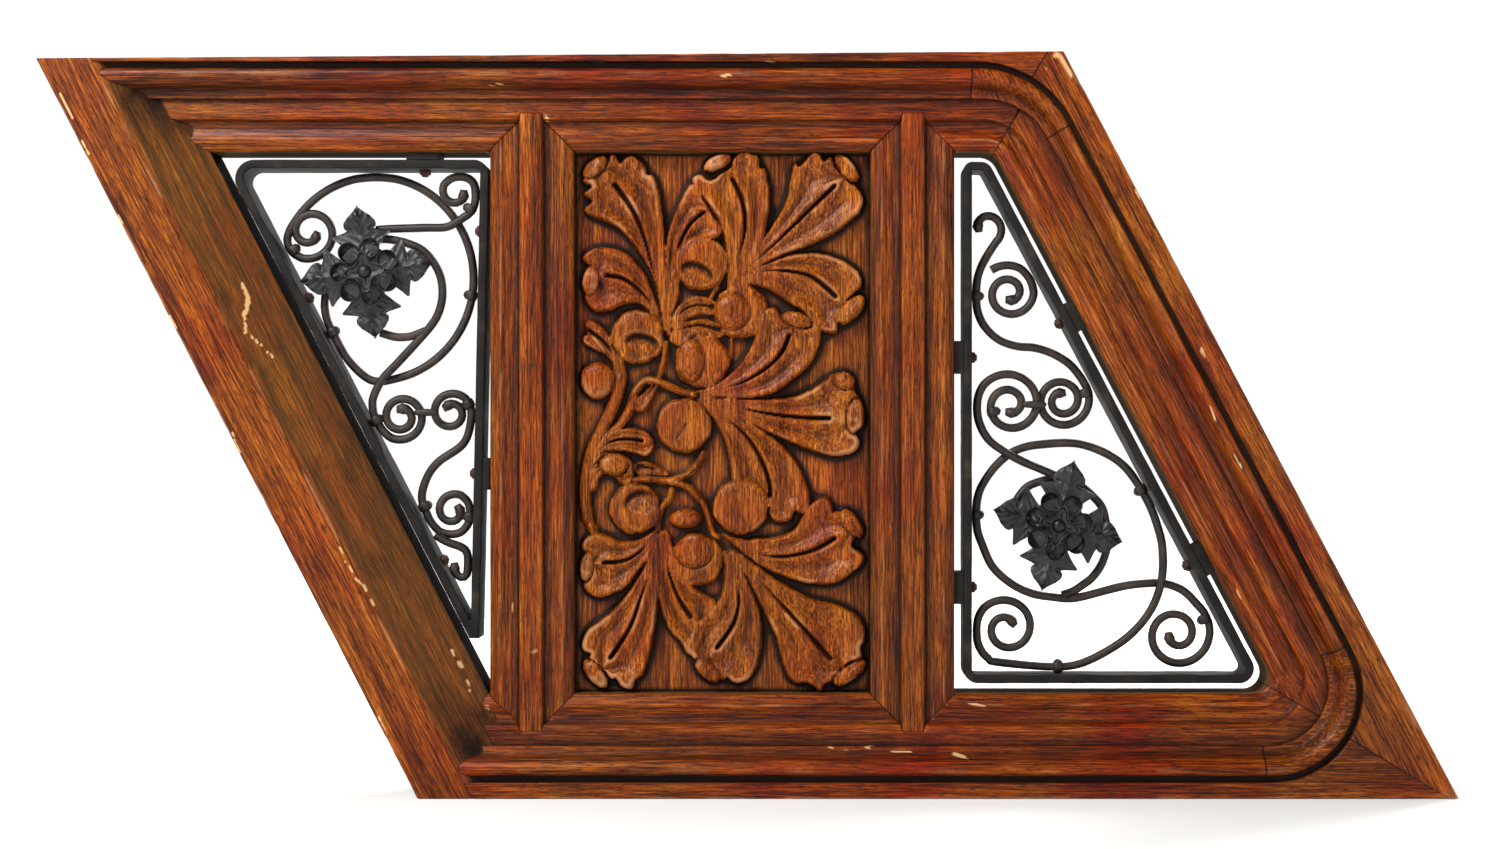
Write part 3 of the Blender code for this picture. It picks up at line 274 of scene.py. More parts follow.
def smooth(points, steps):
    """Points along a Catmull-Rom curve through the given ones."""
    result = [points[0]]
    for i in range(len(points) - 1):
        before = points[max(i - 1, 0)]
        start, end = points[i], points[i + 1]
        after = points[min(i + 2, len(points) - 1)]
        for step in range(1, steps + 1):
            t = step / steps
            result.append(0.5 * (
                2 * start + (end - before) * t + (2 * before - 5 * start + 4 * end - after) * t**2
                + (3 * start - before - 3 * end + after) * t**3
            ))
    return result


def patchy(points, size, seed):
    """Smooth random values from 0 to 1 in space, with patches of a size."""
    table = np.random.default_rng(seed).random((32, 32, 32))
    scaled = np.asarray(points, float) / size
    low = np.floor(scaled).astype(int)
    share = scaled - low
    share = share * share * (3 - 2 * share)
    total = np.zeros(len(scaled))
    for corner in range(8):
        bits = np.array([(corner >> k) & 1 for k in range(3)])
        weight = np.prod(np.where(bits, share, 1 - share), axis=1)
        i, j, k = ((low + bits) % 32).T
        total += weight * table[i, j, k]
    return total


def flat_patches(points, size, seed):
    """The same for points in a plane."""
    return patchy(np.column_stack([points, np.zeros(len(points))]), size, seed)


def photo_position(points):
    """Where points show in the photograph, in pixels."""
    points = np.asarray(points, float)
    shrink = CAMERA_DISTANCE / (CAMERA_DISTANCE + points[:, 1] - FRONT)
    across = OPTICAL_CENTRE[0] + (points[:, 0] - CAMERA_X) * shrink / PIXEL
    down = OPTICAL_CENTRE[1] - (points[:, 2] - CAMERA_Z) * shrink / PIXEL
    return np.stack([across, down], axis=1)


def distance_to_path(points, path):
    """Each point's distance to a path in the plane, and how far along the path that is, from 0 to 1."""
    best = np.full(len(points), np.inf)
    share = np.zeros(len(points))
    path = np.asarray(path, float)
    lengths = np.linalg.norm(np.diff(path, axis=0), axis=1)
    done = 0.0
    for start, end, length in zip(path, path[1:], lengths):
        run = end - start
        t = np.clip(((points - start) @ run) / max(length * length, 1e-12), 0, 1)
        away = np.linalg.norm(points - start - t[:, None] * run, axis=1)
        closer = away < best
        best[closer] = away[closer]
        share[closer] = (done + t[closer] * length) / lengths.sum()
        done += length
    return best, share


def inside_polygon(points, outline):
    inside = np.zeros(len(points), bool)
    x, y = points.T
    for (x1, y1), (x2, y2) in zip(outline, np.roll(outline, -1, axis=0)):
        crosses = (y1 > y) != (y2 > y)
        with np.errstate(divide="ignore", invalid="ignore"):
            inside ^= crosses & (x < (x2 - x1) * (y - y1) / (y2 - y1) + x1)
    return inside


def step_up(value, low, high):
    """0 below a value, 1 above another, and smooth between them."""
    share = np.clip((value - low) / (high - low), 0, 1)
    return share * share * (3 - 2 * share)


# Chips and scratches that lay the pale wood bare: where each runs in the photograph, and its width in pixels
BARE_MARKS = (
    ((242, 284), (248, 298), (246, 314), 6.5), ((244, 312), (246, 333), 3.6), ((250, 336), (262, 346), 3.0),
    ((268, 352), (272, 357), 3.0), ((340, 548), (346, 562), (353, 572), 3.2), ((356, 578), (368, 592), 2.6),
    ((371, 600), (374, 606), 2.0), ((452, 650), (462, 668), 3.4), ((466, 676), (470, 690), 2.6),
    ((60, 92), (72, 118), 3.2), ((80, 138), (88, 154), 2.4), ((118, 216), (122, 224), 2.6),
    ((170, 316), (176, 328), 2.8), ((232, 434), (240, 452), 3.0), ((262, 500), (268, 512), 2.6),
    ((300, 582), (308, 596), 2.4), ((334, 640), (340, 652), 2.8), ((378, 716), (384, 730), 3.2),
    ((720, 77), (731, 74), 4.2), ((492, 86), (500, 84), 2.0), ((768, 62), (772, 57), 2.4),
    ((600, 66), (618, 65), 2.0),
    ((830, 747), (846, 750), 2.6), ((954, 754), (966, 758), 4.6), ((864, 748), (872, 746), 2.0),
    ((892, 752), (914, 751), 1.8), ((970, 704), (984, 706), 3.0), ((1046, 66), (1052, 78), 2.8),
    ((1056, 54), (1063, 62), (1071, 75), 6.0), ((1136, 190), (1139, 199), 2.4),
    ((1201, 347), (1204, 355), 2.4), ((1211, 408), (1215, 420), 1.8),
    ((1234, 455), (1242, 468), 2.0), ((1305, 551), (1308, 557), 2.6), ((1315, 569), (1317, 575), 2.2),
    ((1387, 720), (1390, 725), 2.8), ((1399, 768), (1403, 771), 2.2), ((1408, 776), (1414, 781), 2.6),
    ((1236, 588), (1240, 598), 2.0),
    ((530, 640), (536, 656), 2.0), ((240, 700), (248, 706), 1.6), ((545, 110), (548, 124), 1.6),
    ((512, 604), (514, 616), 1.4), ((486, 706), (492, 716), 2.8),
)


# The marks show only along the middle of their width
BARE_SHARE = 0.6


def bare_wood(points):
    """How far each point's polish is chipped or scratched away."""
    at = photo_position(points)
    ragged = 0.4 * patchy(points, 1.1 * MM, 5) + 0.75 * patchy(points, 4.0 * MM, 6)
    bare = np.zeros(len(at))
    for mark in BARE_MARKS:
        *path, width = mark
        width *= BARE_SHARE
        away, _ = distance_to_path(at, path)
        inner, outer = width * (0.9 * ragged - 0.15), width * (0.9 * ragged + 0.2)
        bare = np.maximum(bare, 1 - step_up(away, inner, outer))
    facing = np.asarray(points)[:, 1] < FRONT + MOULDING_DROP + MM
    return bare * facing


def make_mesh(name, points, faces, marks=None, sharp_angle=35.0):
    """A smooth-shaded object with creases kept, and its marks of wear and painted highlight, grime and
    painted shade, and dull wood on each point.
    """
    mesh = bpy.data.meshes.new(name)
    mesh.from_pydata([tuple(point) for point in points], [], faces)
    for label, values in (marks or {}).items():
        layer = mesh.attributes.new(label, "FLOAT", "POINT")
        layer.data.foreach_set("value", np.asarray(values, np.float32))
    mesh.polygons.foreach_set("use_smooth", np.ones(len(mesh.polygons), bool))
    mesh.set_sharp_from_angle(angle=math.radians(sharp_angle))
    made = bpy.data.objects.new(name, mesh)
    bpy.context.scene.collection.objects.link(made)
    return made


def face_outwards(made):
    shape = bmesh.new()
    shape.from_mesh(made.data)
    bmesh.ops.recalc_face_normals(shape, faces=shape.faces)
    shape.to_mesh(made.data)
    shape.free()


def towards(ring, next_ring):
    """A ring close to the first one on the way to the next."""
    return [
        a.lerp(b, min(1.0, JOINT_SHADE / max((b - a).length, JOINT_SHADE))) for a, b in zip(ring, next_ring)
    ]


def loft(name, rings, marks=None, closed=False, sharp_angle=35.0):
    """A closed skin through rings of equally many points, with one set of marks for each ring point.

    Marked pieces have grime in the joints at both ends.
    """
    if marks:
        start, end = towards(rings[0], rings[1]), towards(rings[-1], rings[-2])
        rings = [rings[0], start, *rings[1:-1], end, rings[-1]]
    count = len(rings[0])
    points = [point for ring in rings for point in ring]
    faces = []
    turns = len(rings) if closed else len(rings) - 1
    for i in range(turns):
        near, far = i * count, ((i + 1) % len(rings)) * count
        for j in range(count):
            k = (j + 1) % count
            faces.append((near + j, near + k, far + k, far + j))
    if not closed:
        faces.append(tuple(reversed(range(count))))
        faces.append(tuple(range((len(rings) - 1) * count, len(rings) * count)))
    spread = {label: np.tile(values, len(rings)) for label, values in (marks or {}).items()}
    if marks:
        spread["bare"] = bare_wood(points)
        # The worn mark, which also paints highlights along crests and arrises, is broken into patches along
        # each run
        spread["wear_and_highlight"] = spread["wear_and_highlight"] * (0.25 + 0.75 * step_up(patchy(points, 26 * MM, 9), 0.3, 0.75))
        spread["grime_and_shade"][:count] = 1.0
        spread["grime_and_shade"][-count:] = 1.0
    made = make_mesh(name, points, faces, spread, sharp_angle)
    face_outwards(made)
    return made


def run_between(first, last, spacing=RING_SPACING):
    """Rings at even steps from one ring to another, without the last one."""
    middle = len(first) // 2
    steps = max(1, round((last[middle] - first[middle]).length / spacing))
    return [[a.lerp(b, step / steps) for a, b in zip(first, last)] for step in range(steps)]


def long_run(rings, spacing=RING_SPACING):
    """The same rings with more between those that stand far apart."""
    result = []
    for near, far in zip(rings, rings[1:]):
        result += run_between(near, far, spacing)
    return result + [rings[-1]]


def wear_down(made, reach, seed):
    """Rounds and dents the worn edges a little, so that they aren't machine straight."""
    mesh = made.data
    wear_and_highlight = np.zeros(len(mesh.vertices), np.float32)
    mesh.attributes["wear_and_highlight"].data.foreach_get("value", wear_and_highlight)
    places = np.zeros(len(mesh.vertices) * 3, np.float32)
    mesh.vertices.foreach_get("co", places)
    places = places.reshape(-1, 3)
    normals = np.array([vertex.normal for vertex in mesh.vertices])
    depth = patchy(places, 9 * MM, seed) ** 3 + 0.35 * patchy(places, 31 * MM, seed + 1)
    places -= (normals * (wear_and_highlight * depth * reach)[:, None]).astype(np.float32)
    mesh.vertices.foreach_set("co", places.reshape(-1))
    mesh.update()


# Finishes


def srgb(code):
    """The linear colour of an sRGB hex code."""
    values = [int(code[i:i + 2], 16) / 255 for i in (0, 2, 4)]
    return tuple(v / 12.92 if v <= 0.04045 else ((v + 0.055) / 1.055) ** 2.4 for v in values) + (1.0,)


def add_node(tree, kind, inputs=None, **settings):
    """A node with its settings; inputs take plain values or the sockets that feed them."""
    made = tree.nodes.new(kind)
    for key, value in settings.items():
        setattr(made, key, value)
    for key, value in (inputs or {}).items():
        if isinstance(value, bpy.types.NodeSocket):
            tree.links.new(value, made.inputs[key])
        else:
            made.inputs[key].default_value = value
    return made


def blank_material(name):
    material = bpy.data.materials.new(name)
    material.use_nodes = True
    tree = material.node_tree
    return material, tree, tree.nodes["Principled BSDF"]


def set_ramp(ramp, stops):
    elements = ramp.color_ramp.elements
    while len(elements) < len(stops):
        elements.new(0.5)
    for element, (position, colour) in zip(elements, stops):
        element.position = position
        element.color = colour


# Streaks of wood are this many times longer than wide
GRAIN_STRETCH = 26.0


def shellacked_oak(name, grain_angle, tone=0.5, relief=1.0, painted_shade=0.0):
    """Oak under old shellac: open pores show as dark dashes along the grain, and the polish has a soft gloss.

    The angle is the grain's, in degrees from level; the tone goes from golden (0) to reddish brown (1), and
    more painted shade darkens the wood, where the key lamp lights a piece more strongly.
    """
    material, tree, shader = blank_material(name)
    where = add_node(tree, "ShaderNodeTexCoord").outputs["Object"]
    turned = add_node(
        tree, "ShaderNodeMapping", {"Vector": where, "Rotation": (0, math.radians(grain_angle), 0)},
        vector_type="TEXTURE",
    ).outputs["Vector"]

    def streaks(width, stretch, detail, roughness, seed):
        """Noise drawn out along the grain; the width is in metres."""
        shifted = add_node(tree, "ShaderNodeMapping", {
            "Vector": turned, "Scale": (1 / (width * stretch), 1 / width, 1 / width),
            "Location": (seed, seed, seed),
        }).outputs["Vector"]
        return add_node(tree, "ShaderNodeTexNoise", {
            "Vector": shifted, "Scale": 1.0, "Detail": detail, "Roughness": roughness,
        }).outputs["Fac"]

    bands = streaks(0.014, GRAIN_STRETCH, 3.0, 0.55, 3.1)
    fibres = streaks(0.0016, GRAIN_STRETCH, 4.0, 0.68, 8.7)
    # Real pores are 0.3 mm wide; these are drawn 1.1 mm wide so that the render can show them
    pores = streaks(0.0011, 9.0, 1.0, 0.5, 1.3)
    patches = add_node(
        tree, "ShaderNodeTexNoise", {"Vector": where, "Scale": 9.0, "Detail": 2.0, "Roughness": 0.5}
    ).outputs["Fac"]
    mixed = add_node(
        tree, "ShaderNodeMix", {0: 0.68, 2: bands, 3: fibres}, data_type="FLOAT"
    ).outputs[0]
    wood = add_node(tree, "ShaderNodeValToRGB", {"Fac": mixed})
    set_ramp(wood, [
        (0.34 + painted_shade, srgb("240C02")), (0.42 + painted_shade, srgb("4A1C03")), (0.50 + painted_shade, srgb("723504")),
        (0.57 + painted_shade, srgb("934D0A")), (0.67 + painted_shade, srgb("B87224")),
    ])
    redder = add_node(
        tree, "ShaderNodeMath", {0: patches, 1: 2.6, 2: -1.3 + 0.5 * tone}, operation="MULTIPLY_ADD"
    )
    redder.use_clamp = True
    colour = add_node(tree, "ShaderNodeMix", {
        "Factor": redder.outputs[0], 6: wood.outputs["Color"], 7: srgb("EC8650"),
    }, data_type="RGBA", blend_type="MULTIPLY").outputs[2]
    pore_mask = add_node(tree, "ShaderNodeValToRGB", {"Fac": pores})
    set_ramp(pore_mask, [(0.56, (0, 0, 0, 1)), (0.68, (1, 1, 1, 1))])
    pore_share = add_node(
        tree, "ShaderNodeMath", {0: pore_mask.outputs["Color"], 1: 0.7}, operation="MULTIPLY"
    ).outputs[0]
    colour = add_node(tree, "ShaderNodeMix", {
        "Factor": pore_share, 6: colour, 7: srgb("1D0B05"),
    }, data_type="RGBA").outputs[2]

    broken = add_node(
        tree, "ShaderNodeTexNoise", {"Vector": where, "Scale": 160.0, "Detail": 3.0, "Roughness": 0.65}
    ).outputs["Fac"]

    def marked(label, code, strength, low, high, under):
        """Lays a colour over the wood where the points carry a mark, broken up by fine noise."""
        mark = add_node(tree, "ShaderNodeAttribute", attribute_name=label).outputs["Fac"]
        raised = add_node(tree, "ShaderNodeMath", {0: mark, 1: broken}, operation="MULTIPLY").outputs[0]
        both = add_node(tree, "ShaderNodeMath", {0: raised, 1: mark}, operation="ADD").outputs[0]
        share = add_node(tree, "ShaderNodeMapRange", {
            "Value": both, "From Min": low, "From Max": high, "To Min": 0.0, "To Max": strength,
        }, clamp=True).outputs[0]
        return share, add_node(
            tree, "ShaderNodeMix", {"Factor": share, 6: under, 7: srgb(code)}, data_type="RGBA"
        ).outputs[2]

    _, colour = marked("dull", "64502E", 0.75, 0.1, 1.4, colour)
    # The worn mark pales worn edges and also paints highlights on crests, arrises and carved ridges
    _, colour = marked("wear_and_highlight", "BE875A", 0.5, 0.55, 1.7, colour)
    # The grime mark darkens dirty joints and also paints shade in grooves, quirks, reveals and the carving's
    # hollows
    grime_and_shade_share, colour = marked("grime_and_shade", "0B0503", 0.95, 0.05, 1.2, colour)
    bare_share, colour = marked("bare", "D3A972", 0.75, 0.35, 1.1, colour)
    tree.links.new(colour, shader.inputs["Base Color"])

    rough = add_node(tree, "ShaderNodeMapRange", {
        "Value": mixed, "From Min": 0.3, "From Max": 0.7, "To Min": 0.44, "To Max": 0.33,
    }).outputs[0]
    for share, added in ((grime_and_shade_share, 0.25), (bare_share, 0.30)):
        rough = add_node(
            tree, "ShaderNodeMath", {0: share, 1: added, 2: rough}, operation="MULTIPLY_ADD"
        ).outputs[0]
    tree.links.new(rough, shader.inputs["Roughness"])
    dry = add_node(tree, "ShaderNodeAttribute", attribute_name="dull").outputs["Fac"]
    polish = add_node(tree, "ShaderNodeMath", {0: dry, 1: -0.13, 2: 0.13}, operation="MULTIPLY_ADD")
    tree.links.new(polish.outputs[0], shader.inputs["Specular IOR Level"])
    shader.inputs["Coat Weight"].default_value = 0.035
    shader.inputs["Coat Roughness"].default_value = 0.25

    height = add_node(
        tree, "ShaderNodeMath", {0: pore_mask.outputs["Color"], 1: -0.6, 2: fibres}, operation="MULTIPLY_ADD"
    )
    bump = add_node(tree, "ShaderNodeBump", {
        "Height": height.outputs[0], "Strength": 0.35 * relief, "Distance": 0.0006,
    })
    tree.links.new(bump.outputs["Normal"], shader.inputs["Normal"])
    return material


def forged_iron(name, dark, brown, metal, gloss, rust=0.5, scale=70.0, shine=0.35):
    """Blackened iron off the anvil: uneven scale, brown where rust comes through, and a dull sheen."""
    material, tree, shader = blank_material(name)
    where = add_node(tree, "ShaderNodeTexCoord").outputs["Object"]
    blotches = add_node(
        tree, "ShaderNodeTexNoise", {"Vector": where, "Scale": scale, "Detail": 4.0, "Roughness": 0.6}
    ).outputs["Fac"]
    grit = add_node(
        tree, "ShaderNodeTexNoise", {"Vector": where, "Scale": 900.0, "Detail": 2.0, "Roughness": 0.6}
    ).outputs["Fac"]
    colours = add_node(tree, "ShaderNodeValToRGB", {"Fac": blotches})
    set_ramp(colours, [(0.36, srgb(dark)), (0.62 - 0.12 * rust, srgb(brown)), (0.78, srgb(metal))])
    tree.links.new(colours.outputs["Color"], shader.inputs["Base Color"])
    rough = add_node(tree, "ShaderNodeMapRange", {
        "Value": blotches, "From Min": 0.3, "From Max": 0.7, "To Min": gloss, "To Max": gloss + 0.22,
    }).outputs[0]
    tree.links.new(rough, shader.inputs["Roughness"])
    shader.inputs["Metallic"].default_value = shine
    shader.inputs["Specular IOR Level"].default_value = 0.15 + shine
    height = add_node(
        tree, "ShaderNodeMath", {0: grit, 1: 0.35, 2: blotches}, operation="MULTIPLY_ADD"
    ).outputs[0]
    bump = add_node(tree, "ShaderNodeBump", {"Height": height, "Strength": 0.5, "Distance": 0.0008})
    tree.links.new(bump.outputs["Normal"], shader.inputs["Normal"])
    return material


# The level rails and the left board are painted darker, as painted shade where the key lamp lights them
# strongly
LEVEL_OAK = shellacked_oak("Shellacked oak, level grain", 0.0, 0.7, painted_shade=0.022)
RIGHT_OAK = shellacked_oak("Shellacked oak, right stile", 90.0 - RIGHT_LEAN, 0.6)
LEFT_OAK = shellacked_oak("Shellacked oak, left board", 90.0 - LEFT_LEAN, 0.1, painted_shade=0.02)
UPRIGHT_OAK = shellacked_oak("Shellacked oak, upright grain", 90.0, 0.3)
CARVED_OAK = shellacked_oak("Carved and shellacked oak", 90.0, 0.2, 1.3, -0.02)
BAR_IRON = forged_iron("Blackened bar iron", "100E0D", "1F1B18", "3A332C", 0.58, 0.3, 40.0, 0.0)
ROD_IRON = forged_iron("Forged rod iron", "17120F", "2A201B", "46382F", 0.42, 0.6, 60.0)
CAST_IRON = forged_iron("Graphite-blackened cast iron", "161617", "2C2C2F", "5C5A59", 0.34, 0.2, 45.0, 0.7)
RUSTY_IRON = forged_iron("Rusted iron nuts", "1C110C", "3C2216", "63391F", 0.62, 0.6, 120.0)


def finish(made, node, material):
    """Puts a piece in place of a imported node, with its finish."""
    made.data.materials.clear()
    made.data.materials.append(material)
    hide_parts(node)
    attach(made, "root")


# Moulded oak


def section_from(rows):
    """Splits rows of (inset, depth, wear and highlight, grime and shade, dull) in millimetres into a section
    and its marks.
    """
    section = [(None if inset is None else inset * MM, depth * MM) for inset, depth, *_ in rows]
    marks = {label: [row[2 + i] for row in rows] for i, label in enumerate(("wear_and_highlight", "grime_and_shade", "dull"))}
    return section, marks


def curved_rows(rows, steps):
    """The same rows with smooth ones between them."""
    return [tuple(row) for row in smooth([np.array(row, float) for row in rows], steps)]


# The moulding round each opening, from the step's edge to the arris: inset and depth, then wear, grime and
# dullness. The wear on the crest also paints its highlight line, and the grime in the quirk and hollows
# paints shade.
STICKING_ROWS = curved_rows([
    (0.0, 20.3, 0.5, 0.0, 0.0), (0.9, 21.0, 0.5, 0.0, 0.0), (1.6, 23.2, 0.2, 0.1, 0.0),
    (2.8, 25.6, 0.0, 0.5, 0.0), (5.0, 27.0, 0.0, 0.3, 0.0), (8.5, 27.6, 0.0, 0.15, 0.0),
    (12.0, 27.0, 0.0, 0.0, 0.0), (15.5, 26.0, 0.0, 0.0, 0.0), (17.6, 24.7, 0.3, 0.0, 0.0),
    (19.4, 24.3, 0.75, 0.0, 0.0), (22.2, 24.9, 0.1, 0.1, 0.0), (25.0, 26.5, 0.0, 0.15, 0.0),
    (27.6, 27.8, 0.0, 0.1, 0.0), (29.4, 29.2, 0.45, 0.1, 0.1),
], 2)


def rail_rows():
    # Grime paints shade in the groove beside the bead, fading across the step, and on the opening's reveal;
    # the wear on the arrises also paints their highlights.
    moulded = [(50.0 + row[0], *row[1:]) for row in STICKING_ROWS]
    outside = [
        (None, 75.0, 0.2, 0.2, 0.5), (None, 30.0, 0.1, 0.1, 0.2), (None, 0.8, 0.6, 0.0, 0.0),
        (None, 0.0, 0.8, 0.0, 0.0), (-0.6, 0.0, 0.5, 0.1, 0.0), (0.0, 0.5, 0.5, 0.3, 0.0),
        (0.0, 20.3, 0.0, 1.0, 0.0), (32.5, 20.3, 0.0, 0.6, 0.0), (35.0, 20.3, 0.0, 0.4, 0.0),
        (42.0, 20.3, 0.0, 0.2, 0.0), (47.5, 20.3, 0.1, 0.0, 0.0),
    ]
    inside = [(80.0, 31.0, 0.2, 0.2, 0.6), (80.0, 36.0, 0.0, 0.3, 1.0), (80.0, 75.0, 0.1, 0.45, 1.0)]
    return outside + moulded + inside


def bead_rows():
    # Grime paints shade on the groove's walls and in the hollow under the bead; the wear along the bead's top
    # also paints its highlight.
    curved = curved_rows([
        (5.4, 8.0, 0.0, 0.8, 0.0), (5.7, 5.0, 0.0, 0.3, 0.0), (7.2, 2.2, 0.3, 0.0, 0.0),
        (9.3, 0.9, 0.5, 0.0, 0.0), (11.8, 0.5, 0.55, 0.0, 0.0), (14.4, 1.0, 0.4, 0.0, 0.0),
        (16.8, 2.3, 0.2, 0.0, 0.0), (19.0, 4.2, 0.0, 0.1, 0.0), (21.6, 7.4, 0.0, 0.25, 0.0),
        (23.6, 10.8, 0.0, 0.4, 0.0), (25.8, 13.6, 0.0, 0.4, 0.0), (28.5, 15.0, 0.1, 0.2, 0.0),
    ], 2)
    return (
        [(0.3, 20.0, 0.0, 1.0, 0.0), (0.3, 8.0, 0.0, 1.0, 0.0)] + curved
        + [(31.4, 15.2, 0.5, 0.0, 0.0), (32.0, 15.8, 0.3, 0.1, 0.0), (32.0, 20.0, 0.0, 0.4, 0.0)]
    )


def splay_width(depth):
    share = min(depth / MOULDING_DROP, 1.0)
    return STILE_FLAT + (STILE_WIDTH - STILE_FLAT) * share


def coped_ring(section, groove, edge):
    """The end of a rail or bead, cut to fit the left stile's splay."""
    points = []
    for inset, depth in section:
        run = edge if inset is None else groove.shifted(inset)
        points.append(place(run.meet(LEFT_EDGE.shifted(splay_width(depth) + GAP)), depth))
    return points


def half_corner(corner, section, second_half):
    middle = corner.turn / 2
    angles = corner.angles(middle, corner.turn) if second_half else corner.angles(0, middle)
    side = 1 if second_half else -1
    return [corner.ring(section, angle, side if abs(angle - middle) < 1e-9 else 0) for angle in angles]


def tongue_outline(grow):
    """Half of a muntin's pointed end: (distance from its middle, reach past the arris)."""
    inner = MUNTIN_FILLET / 2
    shoulder = STICKING * 0.07
    return [
        (MUNTIN_HALF + grow, grow), (inner + shoulder + grow, STICKING - shoulder + grow),
        (inner + grow, MUNTIN_REACH + grow),
    ]


def end_height(across):
    """How far past the arris a muntin reaches at a distance from its middle."""
    outline = tongue_outline(0.0)
    for (outer, low), (inner, high) in zip(outline, outline[1:]):
        if across >= inner:
            return low + (high - low) * (outer - across) / (outer - inner)
    return MUNTIN_REACH


def make_muntin(name, middle):
    # The muntins' grime is raised over the rails': it paints shade in their quirks, hollows and outer
    # arrises, and on their reveals.
    painted_shade_rows = [(9.5 + row[0], row[1], row[2], min(1.0, 0.1 + 1.4 * row[3]), row[4]) for row in STICKING_ROWS]
    half = painted_shade_rows + [(39.5, 31.0, 0.2, 0.3, 0.6), (39.5, 38.0, 0.0, 0.5, 1.0)]
    rows = [(-row[0], *row[1:]) for row in reversed(half)]
    rows += [(-4.0, 20.2, 0.1, 0.0, 0.0), (4.0, 20.2, 0.1, 0.0, 0.0)] + half
    rows += [(39.5, 74.0, 0.1, 0.6, 1.0), (39.5, 75.0, 0.3, 0.1, 0.5)]
    rows += [(-39.5, 75.0, 0.3, 0.1, 0.5), (-39.5, 74.0, 0.1, 0.6, 1.0)]
    section, marks = section_from(rows)
    ends = []
    for level, sign in ((OPENING_BOTTOM, -1), (OPENING_TOP, 1)):
        ring = []
        for across, depth in section:
            reach = end_height(abs(across)) if depth < MITRE_DEPTH else 0
            ring.append(place(Vector((middle + across, level + sign * reach)), depth))
        ends.append(ring)
    buried = [[Vector((p.x, max(p.y, FRONT + MITRE_DEPTH), p.z)) for p in ring] for ring in ends]
    made = loft(name, [buried[0], *long_run(ends), buried[1]], marks)
    wear_down(made, MUNTIN_WEAR, 21)
    return made


def cutter_prism(name, outline, depths):
    rings = [[place(point, depth) for point in outline] for depth in depths]
    return loft(name, rings)


def cut_muntin_notches(rail, level, sign):
    """Lets the muntins' pointed ends into a rail."""
    for middle in (LEFT_MUNTIN_X, RIGHT_MUNTIN_X):
        half = [(MUNTIN_HALF + GAP, -MUNTIN_HALF)] + tongue_outline(NOTCH_CLEARANCE)
        sides = half + [(-across, reach) for across, reach in reversed(half)]
        outline = [Vector((middle + across, level + sign * reach)) for across, reach in sides]
        cutter = cutter_prism("notch", outline, (-THICKNESS, MITRE_DEPTH))
        modifier = rail.modifiers.new("notch", "BOOLEAN")
        modifier.operation = "DIFFERENCE"
        modifier.solver = "EXACT"
        modifier.object = cutter
        bpy.context.view_layer.objects.active = rail
        bpy.ops.object.modifier_apply(modifier=modifier.name)
        bpy.data.objects.remove(cutter)


# The outer flat starts at this point of the rails' section, and carries wear and grime of its own; the wear
# at its outer edge also paints a highlight
FLAT_EDGE = 3
FLAT_SHARES = (0.05, 0.15, 0.3, 0.45, 0.6, 0.75, 0.9)
FLAT_MARKS = {"wear_and_highlight": (0.7, 0.45, 0.2, 0.0, 0.0, 0.0, 0.1), "grime_and_shade": (0.0, 0.0, 0.1, 0.15, 0.1, 0.1, 0.1)}


def with_flat(rings, marks):
    """Adds points across the outer flat, so that it can carry its own marks."""
    start, end = FLAT_EDGE, FLAT_EDGE + 1
    fuller = [
        [*ring[:end], *(ring[start].lerp(ring[end], share) for share in FLAT_SHARES), *ring[end:]]
        for ring in rings
    ]
    plain = [0.0] * len(FLAT_SHARES)
    more = {
        label: [*values[:end], *FLAT_MARKS.get(label, plain), *values[end:]] for label, values in marks.items()
    }
    return fuller, more


def make_oak_frame():
    section, marks = section_from(rail_rows())
    top = [coped_ring(section, TOP_GROOVE, TOP_EDGE)] + half_corner(TOP_CORNER, section, False)
    stile = half_corner(TOP_CORNER, section, True) + half_corner(BOTTOM_CORNER, section, False)
    bottom = half_corner(BOTTOM_CORNER, section, True) + [coped_ring(section, BOTTOM_GROOVE, BOTTOM_EDGE)]
    for name, rings, material, seed in (
        ("top_rail", top, LEVEL_OAK, 31), ("right_stile", stile, RIGHT_OAK, 33),
        ("bottom_rail", bottom, LEVEL_OAK, 35),
    ):
        made = loft(name + "_worn", *with_flat(long_run(rings), marks))
        wear_down(made, RAIL_WEAR, seed)
        if name == "top_rail":
            cut_muntin_notches(made, OPENING_TOP, 1)
        if name == "bottom_rail":
            cut_muntin_notches(made, OPENING_BOTTOM, -1)
        finish(made, name, material)

    section, marks = section_from(bead_rows())

    def around(corner):
        angles = [corner.turn * i / (2 * ARC_STEPS) for i in range(2 * ARC_STEPS + 1)]
        return (
            [corner.cut(section, -1, -LAP)] + [corner.ring(section, angle) for angle in angles]
            + [corner.cut(section, 1, LAP)]
        )

    strips = (
        (
            "top_bead", [coped_ring(section, TOP_GROOVE, TOP_EDGE), TOP_CORNER.cut(section, -1, LAP)],
            LEVEL_OAK,
        ),
        ("top_corner_bead", around(TOP_CORNER), RIGHT_OAK),
        ("right_bead", [TOP_CORNER.cut(section, 1, -LAP), BOTTOM_CORNER.cut(section, -1, LAP)], RIGHT_OAK),
        ("bottom_corner_bead", around(BOTTOM_CORNER), LEVEL_OAK),
        (
            "bottom_bead",
            [BOTTOM_CORNER.cut(section, 1, -LAP), coped_ring(section, BOTTOM_GROOVE, BOTTOM_EDGE)], LEVEL_OAK,
        ),
    )
    for seed, (name, rings, material) in enumerate(strips, 41):
        made = loft(name + "_worn", long_run(rings), marks)
        wear_down(made, BEAD_WEAR, seed)
        finish(made, name, material)

    for name, middle in (("left_muntin", LEFT_MUNTIN_X), ("right_muntin", RIGHT_MUNTIN_X)):
        finish(make_muntin(name + "_worn", middle), name, UPRIGHT_OAK)


